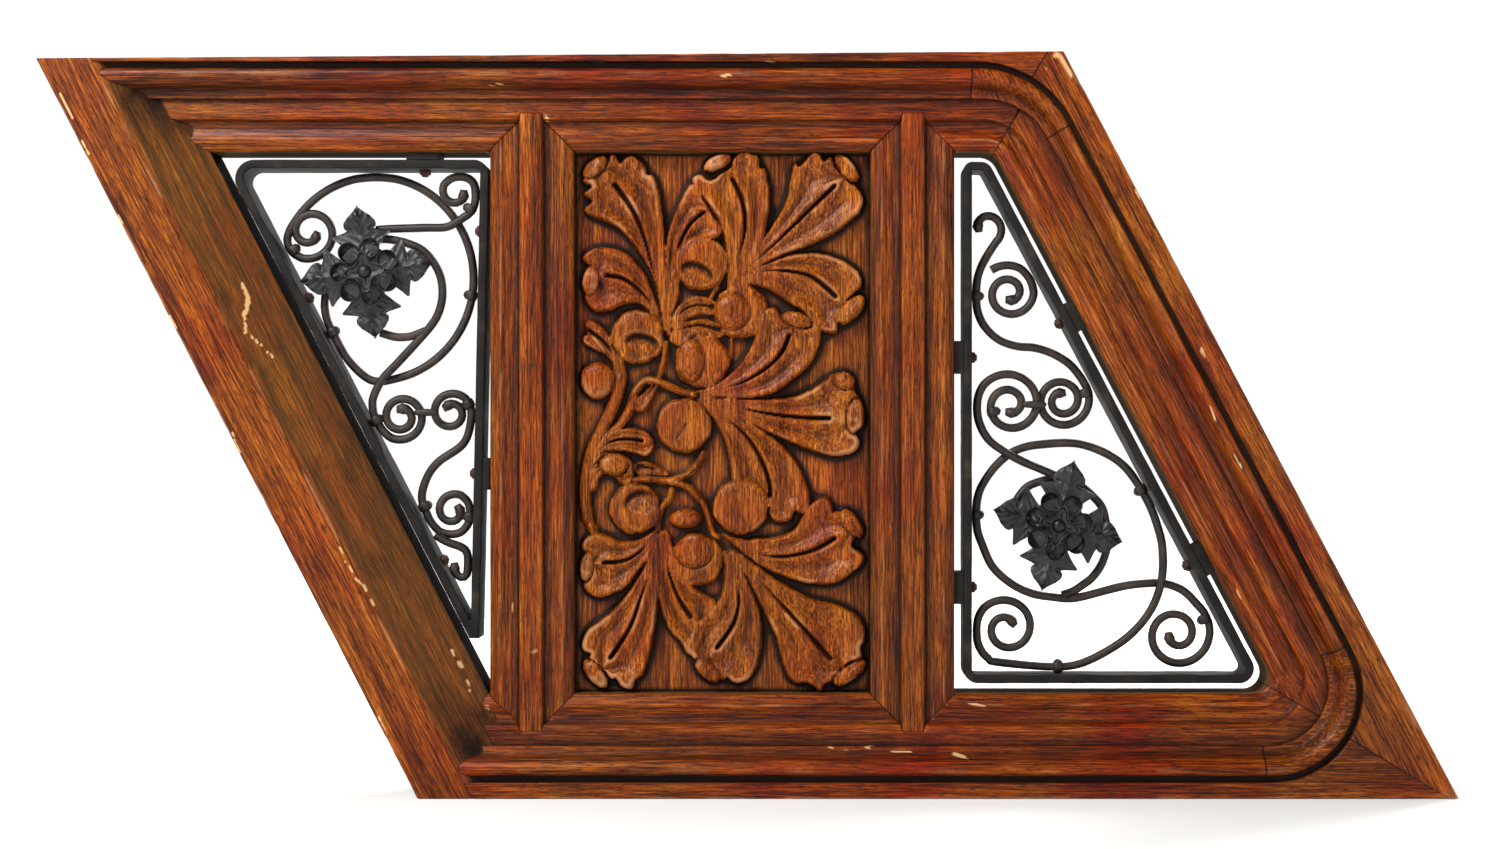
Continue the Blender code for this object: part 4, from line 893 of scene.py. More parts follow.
def make_left_board():
    """The splayed board: its polished flat, the worn arris and the dark splay."""
    rows = [(0.0, 75.0, 0.3, 0.2, 0.6), (0.0, 30.0, 0.1, 0.1, 0.3), (0.0, 1.0, 0.8, 0.0, 0.0)]
    rows += [(1.0, 0.0, 0.9, 0.0, 0.0)]
    rows += [(float(across), 0.0, 0.05, 0.0, 0.0) for across in np.linspace(3.0, 41.0, 20)]
    rows += [(43.2, 0.0, 0.5, 0.0, 0.0), (44.6, 0.35, 1.0, 0.0, 0.1), (46.0, 1.0, 0.6, 0.0, 0.2)]
    # The splay's grime grows towards its inner edge, so the splay is darker there
    for share in np.linspace(0.08, 0.97, 26):
        rows.append((44.6 + 53.9 * share, 30.0 * share, 0.05, 0.10 + 0.12 * share, 0.42))
    # Down the reveal and round to the back, grime paints shade
    rows += [(98.2, 30.0, 0.6, 0.1, 0.5), (98.5, 31.0, 0.2, 0.4, 0.8), (98.5, 36.0, 0.0, 0.8, 1.0)]
    rows += [(98.5, 75.0, 0.0, 0.8, 1.0)]
    section, marks = section_from(rows)
    ends = []
    for edge in (BOTTOM_EDGE, TOP_EDGE):
        ends.append([place(LEFT_EDGE.shifted(width).meet(edge), depth) for width, depth in section])
    rings = long_run(ends, BOARD_RING_SPACING)
    made = loft("left_stile_worn", rings, marks)
    points = np.zeros(len(made.data.vertices) * 3, np.float32)
    made.data.vertices.foreach_get("co", points)
    points = points.reshape(-1, 3)
    grime_and_shade = np.zeros(len(points), np.float32)
    made.data.attributes["grime_and_shade"].data.foreach_get("value", grime_and_shade)
    inset = np.array([LEFT_EDGE.distance(Vector((x, z))) for x, _, z in points])
    splayed = step_up(inset, 46 * MM, 54 * MM)
    # The splay is painted darker near its head, as painted shadow under the top rail's coped end, and darker
    # near its foot; stains lie on it in patches.
    near_head = step_up(points[:, 2], 0.56, 0.66) * splayed
    near_foot = (1 - step_up(points[:, 2], 0.03, 0.15)) * splayed
    stains = step_up(patchy(points, 38 * MM, 61) + 0.4 * patchy(points, 11 * MM, 62), 0.75, 1.15) * splayed
    near_ends = np.maximum(0.75 * near_head, 0.8 * near_foot)
    grime_and_shade = np.maximum(grime_and_shade, near_ends * (0.5 + 0.7 * patchy(points, 15 * MM, 63)))
    grime_and_shade = np.maximum(grime_and_shade, 0.35 * stains)
    grime_and_shade[(points[:, 2] < JOINT_SHADE / 2) | (points[:, 2] > LEFT_HEIGHT - JOINT_SHADE / 2)] = 0.3
    made.data.attributes["grime_and_shade"].data.foreach_set("value", grime_and_shade.astype(np.float32))
    wear_down(made, BOARD_WEAR, 65)
    finish(made, "left_stile", LEFT_OAK)


# Carving


CARVING_WIDTH = 280.3
CARVING_HEIGHT = 511.5
CARVING_STEP = 1.22
# The carving is drawn on three enlarged sheets laid over the photograph: the pixel at each sheet's upper left
# corner
SHEETS = {"upper": (560, 130), "middle": (560, 300), "lower": (560, 480)}
SHEET_SCALE = 4.9
CARVING_PIXEL = 0.9477
CARVING_ORIGIN = (544.5, 656.2)


def from_sheet(sheet, points):
    """Sheet points in millimetres from the carving's lower left corner."""
    left, top = SHEETS[sheet]
    places = np.asarray(points, float)
    across = (left + places[:, 0] / SHEET_SCALE) * CARVING_PIXEL - CARVING_ORIGIN[0]
    up = CARVING_ORIGIN[1] - (top + places[:, 1] / SHEET_SCALE) * CARVING_PIXEL
    return np.stack([across, up], axis=1)


# Each blade: sheet, outline from its root round the left edge and back, groove from root to tip, and its
# height in millimetres at the root and at the tip
BLADES = {
    "upper_left": ("upper", (
        (508, 980), (492, 870), (470, 760), (440, 680), (400, 612), (350, 542), (290, 480), (215, 440),
        (150, 418), (120, 388), (160, 350), (120, 312), (160, 278), (118, 248), (150, 205), (232, 170),
        (246, 128), (272, 128), (298, 168), (318, 142), (345, 128), (378, 142), (412, 178), (424, 220),
        (455, 228), (478, 290), (494, 400), (506, 500), (514, 620), (520, 800), (522, 960)),
        ((505, 930), (492, 840), (470, 740), (440, 630), (410, 520), (375, 430), (325, 345), (268, 268)),
        (9, 15)),
    "left": ("upper", (
        (502, 990), (484, 900), (455, 810), (425, 730), (385, 665), (330, 612), (265, 582), (190, 578),
        (135, 598), (112, 625), (135, 652), (165, 690), (150, 760), (125, 812), (138, 855), (172, 882),
        (240, 882), (305, 852), (370, 842), (425, 872), (465, 925), (492, 980)),
        ((495, 960), (468, 895), (425, 825), (365, 765), (300, 724), (228, 712)), (8, 14)),
    "small_upright": ("upper", (
        (520, 1000), (516, 800), (520, 640), (520, 560), (544, 462), (580, 372), (622, 288), (648, 266),
        (676, 292), (702, 345), (745, 420), (792, 482), (768, 522), (705, 540), (650, 560), (604, 620),
        (585, 720), (570, 830), (545, 900), (534, 1000)),
        ((545, 760), (560, 640), (590, 545), (640, 455), (704, 400)), (7, 12)),
    "upper_crescent": ("upper", (
        (545, 965), (560, 895), (602, 842), (665, 815), (742, 830), (758, 868), (750, 902), (690, 896),
        (622, 922), (570, 975)),
        ((560, 950), (600, 885), (665, 855), (745, 862)), (7, 9)),
    "lower_crescent": ("upper", (
        (535, 1018), (560, 972), (622, 940), (702, 930), (772, 950), (805, 990), (770, 1015), (700, 992),
        (640, 1012), (590, 1055), (548, 1040)),
        ((545, 1010), (600, 970), (690, 955), (780, 980)), (8, 10)),
    "crown": ("upper", (
        (822, 770), (822, 640), (812, 555), (798, 480), (768, 415), (722, 350), (682, 300), (650, 245),
        (682, 218), (740, 250), (790, 215), (838, 185), (850, 150), (876, 116), (905, 108), (938, 118),
        (965, 128), (978, 186), (1002, 190), (1012, 245), (1024, 305), (1020, 385), (1010, 440), (1000, 520),
        (962, 615), (905, 705), (850, 765)),
        ((842, 750), (862, 660), (890, 570), (906, 480), (904, 400), (882, 315), (843, 238)), (9, 14)),
    "upper_right": ("upper", (
        (822, 775), (900, 690), (960, 618), (1002, 530), (1062, 440), (1112, 342), (1132, 245), (1150, 165),
        (1172, 182), (1202, 152), (1240, 112), (1272, 122), (1292, 155), (1325, 138), (1352, 190),
        (1410, 255), (1450, 282), (1482, 335), (1470, 392), (1428, 432), (1340, 502), (1222, 560),
        (1102, 605), (1020, 640), (925, 702), (850, 768)),
        ((850, 745), (960, 642), (1080, 530), (1200, 412), (1345, 275)), (9, 16)),
    "right": ("upper", (
        (828, 770), (922, 700), (1020, 655), (1102, 622), (1182, 606), (1272, 606), (1352, 626), (1424, 666),
        (1464, 702), (1476, 755), (1440, 800), (1395, 850), (1382, 920), (1356, 955), (1352, 990),
        (1292, 986), (1240, 950), (1192, 885), (1132, 852), (1052, 795), (992, 765), (930, 752), (862, 775)),
        ((862, 748), (940, 702), (1030, 686), (1130, 692), (1220, 712), (1290, 760), (1350, 815)), (9, 14)),
    "middle_upright": ("upper", (
        (668, 1275), (745, 1258), (822, 1210), (880, 1150), (930, 1080), (960, 1010), (972, 932), (1002, 886),
        (1045, 870), (1075, 900), (1110, 950), (1180, 968), (1232, 950), (1270, 970), (1276, 1012),
        (1260, 1072), (1225, 1142), (1152, 1210), (1080, 1265), (1000, 1300), (900, 1312), (780, 1306),
        (690, 1298)),
        ((720, 1285), (860, 1250), (960, 1200), (1040, 1142), (1092, 1080), (1122, 1008)), (9, 15)),
    "middle_right": ("middle", (
        (682, 462), (762, 480), (860, 485), (960, 490), (1062, 486), (1152, 475), (1232, 440), (1302, 394),
        (1340, 364), (1390, 366), (1436, 395), (1440, 440), (1472, 492), (1490, 562), (1480, 622),
        (1442, 645), (1466, 690), (1450, 735), (1402, 756), (1340, 762), (1262, 742), (1152, 702),
        (1052, 660), (960, 612), (860, 560), (765, 512), (690, 485)),
        ((740, 488), (860, 520), (960, 545), (1080, 565), (1200, 576), (1318, 580)), (9, 15)),
    "middle_down": ("middle", (
        (655, 475), (702, 522), (762, 592), (802, 662), (826, 742), (840, 822), (850, 885), (900, 925),
        (960, 945), (1005, 955), (1022, 1005), (1035, 1060), (1072, 1085), (1130, 1072), (1150, 1028),
        (1200, 1046), (1222, 985), (1210, 920), (1180, 842), (1122, 752), (1062, 690), (962, 622), (862, 562),
        (762, 512)),
        ((700, 500), (800, 570), (900, 652), (975, 760), (1022, 880), (1030, 960)), (9, 13)),
    "lower_left": ("lower", (
        (478, 232), (425, 275), (362, 302), (292, 302), (222, 272), (165, 268), (118, 298), (112, 340),
        (150, 375), (165, 430), (150, 480), (122, 505), (132, 545), (182, 572), (252, 556), (322, 520),
        (382, 442), (432, 372), (462, 300)),
        ((462, 262), (410, 332), (350, 380), (290, 400), (215, 406)), (8, 14)),
    "foot_left": ("lower", (
        (476, 262), (432, 382), (390, 470), (332, 560), (270, 632), (200, 690), (142, 732), (112, 792),
        (116, 836), (152, 850), (150, 880), (215, 925), (252, 972), (275, 965), (300, 1010), (350, 1022),
        (364, 980), (402, 950), (432, 862), (452, 782), (470, 642), (482, 500), (492, 380), (492, 280)),
        ((470, 360), (442, 450), (400, 560), (352, 700), (302, 790), (248, 868)), (8, 15)),
    "foot_small": ("lower", (
        (492, 250), (480, 420), (486, 560), (506, 662), (542, 742), (592, 792), (625, 850), (672, 842),
        (702, 742), (762, 612), (702, 562), (640, 522), (572, 452), (552, 352), (530, 262)),
        ((520, 330), (524, 410), (545, 495), (585, 590), (640, 672)), (7, 11)),
    "foot_middle": ("lower", (
        (800, 352), (806, 480), (790, 570), (742, 642), (682, 692), (640, 762), (620, 812), (640, 850),
        (665, 880), (730, 900), (790, 975), (820, 965), (850, 992), (905, 986), (942, 950), (972, 872),
        (986, 762), (975, 652), (942, 560), (905, 472), (850, 372)),
        ((832, 400), (862, 490), (875, 585), (860, 680), (820, 752), (770, 820)), (8, 14)),
    "foot_right": ("lower", (
        (832, 345), (902, 452), (962, 560), (1012, 662), (1062, 772), (1092, 882), (1122, 962), (1162, 992),
        (1205, 990), (1250, 1012), (1276, 1036), (1292, 1000), (1340, 975), (1400, 900), (1475, 870),
        (1468, 822), (1490, 782), (1480, 702), (1432, 652), (1342, 612), (1242, 590), (1142, 542),
        (1042, 482), (962, 422), (880, 362)),
        ((880, 380), (960, 468), (1040, 560), (1150, 680), (1240, 780), (1325, 875)), (9, 16)),
    "lower_right": ("lower", (
        (800, 268), (872, 290), (962, 292), (1062, 282), (1152, 242), (1190, 182), (1222, 130), (1262, 95),
        (1310, 90), (1328, 128), (1340, 158), (1385, 165), (1440, 260), (1430, 325), (1486, 372), (1470, 420),
        (1402, 470), (1340, 506), (1232, 506), (1132, 482), (1032, 442), (962, 402), (880, 342)),
        ((862, 300), (960, 356), (1060, 376), (1160, 366), (1260, 335), (1345, 285)), (9, 15)),
    "side_tip": ("upper", (
        (118, 938), (150, 936), (205, 968), (240, 1015), (250, 1060), (285, 1125), (300, 1195), (285, 1235),
        (262, 1150), (235, 1110), (190, 1082), (122, 1046), (118, 1012), (138, 1000)),
        ((275, 1180), (250, 1090), (205, 1030), (140, 980)), (8, 12)),
    "curl_over": ("middle", (
        (160, 790), (182, 722), (240, 662), (320, 632), (402, 640), (450, 680), (456, 722), (422, 762),
        (380, 752), (302, 736), (232, 736), (192, 762)),
        ((175, 770), (225, 705), (310, 680), (400, 690)), (11, 14)),
    "curl_under": ("middle", (
        (130, 940), (140, 860), (160, 795), (212, 754), (272, 748), (332, 780), (356, 822), (350, 872),
        (332, 906), (292, 892), (262, 860), (222, 848), (186, 872), (170, 925)),
        ((150, 880), (190, 805), (260, 785), (320, 840)), (9, 14)),
    "knuckle": ("middle", (
        (335, 500), (345, 470), (370, 430), (400, 400), (450, 385), (480, 400), (468, 440), (440, 500),
        (400, 548), (360, 530)),
        ((350, 510), (380, 470), (430, 420)), (9, 9)),
    "tip_below": ("middle", (
        (360, 812), (400, 795), (450, 805), (510, 840), (525, 858), (440, 850), (380, 852)),
        ((500, 845), (440, 825), (380, 815)), (6, 8)),
}
# Rolled leaf ends: sheet, centre, length and width in sheet units, and turn in degrees
ROLLS = (
    ("upper", (172, 182), 150, 74, 42), ("upper", (150, 738), 142, 84, 82),
    ("upper", (772, 158), 146, 70, 24), ("upper", (1404, 185), 165, 78, -52),
    ("upper", (1428, 880), 176, 90, 48), ("upper", (1158, 928), 150, 76, -18),
    ("middle", (1446, 568), 166, 84, 84), ("middle", (1395, 395), 105, 84, -20),
    ("lower", (130, 426), 142, 66, 84), ("lower", (172, 950), 168, 80, -50),
    ("lower", (722, 936), 150, 76, -42), ("lower", (1418, 945), 190, 78, 38),
    ("lower", (1430, 212), 165, 78, -56),
)
# Round buds: sheet, centre, radius in sheet units, height in millimetres, and how they are cut
BUDS = (
    ("upper", (378, 1012), 128, 14.0, "cup", (402, 1052, 92, 0.62, -14)),
    ("upper", (690, 650), 130, 14.5, "cup", (672, 700, 92, 0.55, -24)),
    ("upper", (886, 886), 130, 13.0, "ball", (842, 888, 90)),
    ("upper", (695, 1132), 130, 13.0, "egg", (640, 1128, 92)),
    ("middle", (606, 614), 131, 13.5, "crease", (592, 648, 60)),
    ("lower", (885, 132), 132, 13.5, "plain", (885, 132, 50)),
    ("lower", (365, 140), 122, 12.5, "cup", (392, 112, 84, 0.8, 10)),
    ("lower", (668, 392), 126, 12.5, "ball", (656, 338, 94)),
)
# Small solid knobs: sheet, centre, half length and half width in sheet units, height in millimetres
KNOBS = (
    ("upper", (182, 1226), 84, 92, 16.0), ("lower", (615, 190), 80, 48, 11.0),
    ("middle", (262, 806), 70, 56, 15.5),
)
# Stalks: sheet, width in millimetres, height in millimetres, and the points that they run through
STALKS = (
    ("upper", 4.4, 9.0, ((515, 1040), (508, 1110), (495, 1170), (478, 1230))),
    ("middle", 6.0, 12.0, (
        (655, 462), (600, 450), (540, 425), (480, 400), (440, 388), (400, 402), (362, 450))),
    ("middle", 8.0, 10.0, ((362, 470), (345, 525), (300, 600), (240, 665), (180, 735), (140, 820))),
    ("middle", 11.0, 10.0, (
        (285, 300), (292, 380), (275, 470), (240, 560), (200, 640), (160, 720), (130, 830), (118, 940),
        (132, 1070))),
    ("middle", 8.0, 7.0, ((130, 1040), (150, 1110), (195, 1190))),
    ("middle", 5.5, 9.0, (
        (360, 880), (440, 878), (520, 885), (580, 872), (640, 838), (680, 790), (698, 745))),
    ("middle", 5.5, 10.0, (
        (540, 890), (600, 905), (650, 940), (700, 1000), (728, 1070), (745, 1140), (770, 1160))),
    ("lower", 5.0, 8.0, ((545, 50), (535, 90), (500, 130), (480, 190), (478, 240))),
    ("upper", 3.2, 5.0, ((838, 1020), (836, 1100), (815, 1180))),
    ("upper", 4.0, 7.0, ((770, 770), (752, 790), (740, 815))),
    ("middle", 4.0, 8.0, ((648, 470), (628, 500))),
)


class Relief:
    """The carving's height over its ground, in millimetres, on a fine grid."""

    def __init__(self):
        self.across = round(CARVING_WIDTH / CARVING_STEP)
        self.up = round(CARVING_HEIGHT / CARVING_STEP)
        self.x = np.linspace(0, CARVING_WIDTH, self.across + 1)
        self.z = np.linspace(0, CARVING_HEIGHT, self.up + 1)
        self.height = np.zeros((self.up + 1, self.across + 1))

    def window(self, outline, margin=4.0):
        """The grid's part round an outline: its index ranges and its points."""
        low, high = outline.min(axis=0) - margin, outline.max(axis=0) + margin
        columns = np.flatnonzero((self.x >= low[0]) & (self.x <= high[0]))
        rows = np.flatnonzero((self.z >= low[1]) & (self.z <= high[1]))
        part = np.ix_(rows, columns)
        across, up = np.meshgrid(self.x[columns], self.z[rows])
        return part, np.stack([across.ravel(), up.ravel()], axis=1)

    def raise_to(self, part, height):
        self.height[part] = np.maximum(self.height[part], height.reshape(self.height[part].shape))

    def cut_to(self, part, height):
        self.height[part] = np.minimum(self.height[part], height.reshape(self.height[part].shape))


WALL_RUN = 1.3
KNOB_RISE = 8.0
ROLL_HEIGHT = 17.5
ROLL_RISE = 6.5
ROLL_DISH = 1.5


def rough_edge(points, seed):
    """A small unevenness in millimetres, as a knife leaves along an edge."""
    return 0.7 * (flat_patches(points, 4.5, seed) - 0.5) + 0.5 * (flat_patches(points, 1.9, seed + 1) - 0.5)


def carve_blade(relief, sheet, outline, groove, heights, seed):
    """A leaf: hollowed on both sides of its groove, thin at the edge and lifting towards its tip."""
    outline = from_sheet(sheet, outline)
    closed = np.array(smooth(list(outline) + [outline[0]], 4))[:-1]
    groove = np.array(smooth(list(from_sheet(sheet, groove)), 4))
    part, points = relief.window(closed)
    away, _ = distance_to_path(points, np.vstack([closed, closed[:1]]))
    inside = np.where(inside_polygon(points, closed), away, -away) + rough_edge(points, seed)
    root = outline[0]
    tip = groove[-1] + (groove[-1] - groove[-4]) / np.linalg.norm(groove[-1] - groove[-4]) * 12
    spine = np.vstack([root, groove, tip])
    from_groove, _ = distance_to_path(points, spine)
    to_cut, along_cut = distance_to_path(points, groove)
    length = np.linalg.norm(tip - root)
    along = np.clip(np.linalg.norm(points - root, axis=1) / length, 0, 1.15)
    side = from_groove / (from_groove + np.maximum(inside, 0) + 0.3)
    low, high = heights
    body = low + (high - low) * step_up(along, 0.0, 0.75)
    hollow = (1.2 + 4.6 * step_up(along, 0.1, 0.7)) * np.sin(np.pi * np.clip(side, 0, 1)) ** 1.2
    flute = 0.9 * step_up(along, 0.25, 0.6) * np.cos(np.clip(side, 0, 1) * 4 * np.pi)
    lift = 2.6 * step_up(along, 0.80, 1.05) - flute
    height = body - hollow + lift
    slit_width = 0.7 + 1.7 * along_cut
    slit = (1 - step_up(to_cut, 0.35 * slit_width, slit_width)) * (1.5 + 10.5 * step_up(along_cut, 0.1, 0.6))
    height = height - slit
    height += 0.5 * (flat_patches(points, 7.0, seed + 3) - 0.5)
    gouges = np.sin(side * 44.0 + 2.5 * flat_patches(points, 12.0, seed + 4))
    height += 0.24 * gouges * step_up(along, 0.15, 0.4)
    height -= 1.6 * (1 - step_up(inside, 0.0, 1.6))
    relief.raise_to(part, np.where(inside > -WALL_RUN, height * step_up(inside, -WALL_RUN, 0.0), 0))


def carve_bud(relief, sheet, centre, radius, height, kind, detail, seed):
    """A round bud with a thin lip, cut as a cup, with a ball or an egg in it, or left plain."""
    middle = from_sheet(sheet, [centre])[0]
    reach = radius / SHEET_SCALE * CARVING_PIXEL
    spot = from_sheet(sheet, [detail[:2]])[0]
    inner = detail[2] / SHEET_SCALE * CARVING_PIXEL
    part, points = relief.window(np.array([middle - reach, middle + reach]))
    offset = points - middle
    bearing = np.arctan2(offset[:, 1], offset[:, 0])
    wavy = 0.5 * np.sin(bearing * 5 + seed) + 0.35 * np.sin(bearing * 11 + 2 * seed)
    away = np.linalg.norm(offset, axis=1)
    inside = reach + wavy - away + rough_edge(points, seed)
    top = height - 3.0 * (away / reach) ** 2.5
    if kind == "cup":
        flat, tilt = detail[3], math.radians(detail[4])
        across = (points - spot) @ (math.cos(tilt), math.sin(tilt)) / inner
        upward = (points - spot) @ (-math.sin(tilt), math.cos(tilt)) / (inner * flat)
        oval = np.hypot(across, upward)
        depth = 5.0 + 4.5 * upward
        top -= np.clip(depth, 0.8, 9.0) * step_up(1 - oval, 0.0, 0.16)
        top += 0.35 * np.sin(oval * 22.0) * (oval < 1)
        top += 0.7 * step_up(oval, 1.0, 1.15) * step_up(upward, -0.4, 0.6)
    if kind in ("ball", "egg"):
        squash = np.array([0.72, 1.15]) if kind == "egg" else np.array([1.0, 1.0])
        shaped = np.linalg.norm((points - spot) / squash, axis=1)
        ball = np.sqrt(np.clip(1 - (shaped / inner) ** 2, 0, 1)) * 7.5 + height - 4.8
        moat = 3.2 * (1 - step_up(np.abs(shaped - inner), 0.0, 2.6))
        top = np.maximum(top - 2.0 - moat, np.where(shaped < inner, ball, 0))
    if kind == "crease":
        line, _ = distance_to_path(points, [spot + (-3, -5), spot, spot + (6, 8)])
        top -= 2.2 * (1 - step_up(line, 0.2, 2.2))
        top += 1.2 * step_up(away, reach * 0.4, reach * 0.9)
    if kind == "plain":
        tilted = (offset @ np.array([0.6, -0.8])) / reach
        top += 1.2 * tilted + 0.3 * np.sin(offset[:, 0] * 1.2)
    top += 0.5 * (flat_patches(points, 6.0, seed + 7) - 0.5)
    top -= 1.2 * (1 - step_up(inside, 0.0, 1.4))
    relief.raise_to(part, np.where(inside > -WALL_RUN, top * step_up(inside, -WALL_RUN, 0.0), 0))


def carve_knob(relief, middle, half_sizes, turn, height, rise, seed, dished=0.0):
    """A round-topped knob or roll that stands over what lies under it; a roll is dished along one side."""
    part, points = relief.window(np.array([middle - max(half_sizes), middle + max(half_sizes)]))
    offset = points - middle
    c, s = math.cos(math.radians(turn)), math.sin(math.radians(turn))
    local = np.stack([offset @ (c, s), offset @ (-s, c)], axis=1) / half_sizes
    away = np.linalg.norm(local, axis=1) + 0.10 * rough_edge(points, seed)
    dome = np.sqrt(np.clip(1 - away ** 2.4, 0, 1))
    lip = local[:, 1] - 0.35 + 0.3 * local[:, 0] ** 2
    top = height - rise + rise * dome - dished * np.exp(-((lip / 0.3) ** 2)) * step_up(1 - away, 0.0, 0.3)
    top += 0.4 * np.sin(local[:, 0] * 9.0 + seed) * (dished > 0)
    ditch = (height - rise * 1.15) * np.ones(len(points))
    near = (away > 1.0) & (away < 1.0 + 1.3 / min(half_sizes))
    relief.cut_to(part, np.where(near, ditch, 99.0))
    relief.raise_to(part, np.where(away < 1.0, top, 0))


def carve_stalk(relief, sheet, width, height, path, seed):
    path = np.array(smooth(list(from_sheet(sheet, path)), 6))
    part, points = relief.window(path, width + 2)
    away, along = distance_to_path(points, path)
    half = width / 2 * (1 - 0.15 * along) + 0.4 * rough_edge(points, seed)
    inside = half - away
    top = height - 3.0 * np.clip(away / half, 0, 1.2) ** 2
    relief.raise_to(part, np.where(inside > -WALL_RUN, top * step_up(inside, -WALL_RUN, 0.0), 0))


def blurred(values, cells):
    """Values averaged over a square of cells, twice, for a soft blur."""
    for _ in range(2):
        for axis in (0, 1):
            padded = np.pad(values, [(cells, cells) if axis == a else (0, 0) for a in (0, 1)], mode="edge")
            total = np.cumsum(padded, axis=axis)
            zero = np.zeros_like(np.take(total, [0], axis=axis))
            total = np.concatenate([zero, total], axis=axis)
            size = 2 * cells + 1
            count = values.shape[axis]
            high = np.take(total, range(size, size + count), axis=axis)
            low = np.take(total, range(0, count), axis=axis)
            values = (high - low) / size
    return values


def make_carving():
    relief = Relief()
    for seed, stalk in enumerate(STALKS, 100):
        carve_stalk(relief, stalk[0], stalk[1], stalk[2], stalk[3], seed)
    for seed, (sheet, outline, groove, heights) in enumerate(BLADES.values(), 200):
        carve_blade(relief, sheet, outline, groove, heights, seed)
    for seed, (sheet, centre, radius, height, kind, detail) in enumerate(BUDS, 300):
        carve_bud(relief, sheet, centre, radius, height, kind, detail, seed)
    for seed, (sheet, centre, half_length, half_width, height) in enumerate(KNOBS, 400):
        sizes = np.array([half_length, half_width]) / SHEET_SCALE * CARVING_PIXEL
        carve_knob(relief, from_sheet(sheet, [centre])[0], sizes, 0.0, height, KNOB_RISE, seed)
    for seed, (sheet, centre, length, width, turn) in enumerate(ROLLS, 500):
        sizes = np.array([length, width]) / 2 / SHEET_SCALE * CARVING_PIXEL
        middle = from_sheet(sheet, [centre])[0]
        carve_knob(relief, middle, sizes, turn, ROLL_HEIGHT, ROLL_RISE, seed, ROLL_DISH)

    grid_x, grid_z = np.meshgrid(relief.x, relief.z)
    flat = np.stack([grid_x.ravel(), grid_z.ravel(), np.zeros(grid_x.size)], axis=1)
    shape = relief.height.shape
    tooled = (0.35 * (patchy(flat, 9.0, 71) - 0.5) + 0.2 * (patchy(flat, 3.0, 72) - 0.5)).reshape(shape)
    height = blurred(relief.height + tooled, 1) * 0.35 + (relief.height + tooled) * 0.65
    # Grime paints shade: it darkens the hollows, and the ground along the panel's edges where the frame
    # shades it. The wear pales high ridges in patches, which also paints their highlights.
    cavity = blurred(height, 4) - height
    ridge = height - blurred(height, 2)
    grime_and_shade = np.clip((cavity - 0.3) / 3.2, 0, 1)
    edge = np.minimum(np.minimum(grid_x, CARVING_WIDTH - grid_x), np.minimum(grid_z, CARVING_HEIGHT - grid_z))
    grime_and_shade = np.maximum(grime_and_shade, 0.85 * (1 - step_up(edge, 0.0, 6.0)) * (height < 3.0))
    wear_and_highlight_patches = step_up(patchy(flat, 22.0, 73), 0.45, 0.8).reshape(shape)
    wear_and_highlight = np.clip(ridge / 1.6, 0, 1) * step_up(height, 6.0, 14.0) * (0.3 + 0.7 * wear_and_highlight_patches)
    wear_and_highlight = wear_and_highlight + 0.4 * wear_and_highlight_patches * step_up(height, 12.0, 15.0) * step_up(ridge, -0.2, 0.4)

    panel = Vector((PANEL_LEFT, OPENING_BOTTOM))
    scale = ((PANEL_RIGHT - PANEL_LEFT) / CARVING_WIDTH, (OPENING_TOP - OPENING_BOTTOM) / CARVING_HEIGHT)
    rows, columns = shape
    front = np.stack([
        panel.x + grid_x * scale[0], FRONT + GROUND_DEPTH - height * MM, panel.y + grid_z * scale[1],
    ], axis=-1)
    points = front.reshape(-1, 3)
    number = np.arange(rows * columns).reshape(shape)
    quads = np.stack([number[:-1, :-1], number[:-1, 1:], number[1:, 1:], number[1:, :-1]], axis=-1)
    quads = quads.reshape(-1, 4)
    rim = np.concatenate([number[0, :-1], number[:-1, -1], number[-1, :0:-1], number[:0:-1, 0]])
    middle = points[rim].mean(axis=0)
    wide = points[rim].copy()
    at_side = np.isin(wide[:, 0], [points[:, 0].min(), points[:, 0].max()])
    wide[:, 0] += np.sign(wide[:, 0] - middle[0]) * TONGUE * 0.8 * at_side
    wide[:, 1] = FRONT + GROUND_DEPTH + 0.5 * MM
    back = wide.copy()
    back[:, 1] = FRONT + GROUND_DEPTH + BOARD_THICKNESS
    first, second = len(points), len(points) + len(rim)
    everything = np.vstack([points, wide, back])
    faces = [tuple(quad) for quad in quads]
    for i in range(len(rim)):
        j = (i + 1) % len(rim)
        faces.append((rim[i], first + i, first + j, rim[j]))
        faces.append((first + i, second + i, second + j, first + j))
    faces.append(tuple(second + i for i in range(len(rim))))
    extra = np.zeros(2 * len(rim))
    marks = {
        "wear_and_highlight": np.concatenate([wear_and_highlight.ravel(), extra]), "grime_and_shade": np.concatenate([grime_and_shade.ravel(), extra + 0.3]),
        "dull": np.concatenate([np.zeros(height.size), extra + 1.0]), "bare": np.zeros(len(everything)),
    }
    made = make_mesh("carved_panel_relief", everything, faces, marks, 180.0)
    face_outwards(made)
    finish(made, "carved_panel", CARVED_OAK)


# Ironwork


class Grille:
    """The clear triangle inside a grille's bars, with places given from its square corner."""

    def __init__(self, level, square, upright, slant, far_side, gap, drawn_height):
        self.gap = gap
        lines = {"level": level, "upright": upright, "slant": slant, "far": far_side}
        self.inner = {name: line.shifted(gap + BAR_WIDTH) for name, line in lines.items()}
        side = square.shifted(gap + BAR_WIDTH)
        self.corner = self.inner["level"].meet(side)
        far = side.meet(far_side.shifted(gap + BAR_WIDTH))
        self.scale = abs(far.y - self.corner.y) / drawn_height

    def at(self, x, z, shift=0.0):
        return Vector((self.corner.x + x * self.scale, self.corner.y + z * self.scale, shift))

    def inside(self, point):
        """The same point, moved in where it would touch a bar."""
        for bar in self.inner.values():
            short = ROD_SEAT - bar.distance(point.xy)
            if short > 0:
                point = point + Vector((*(bar.inward * short), 0))
        return point


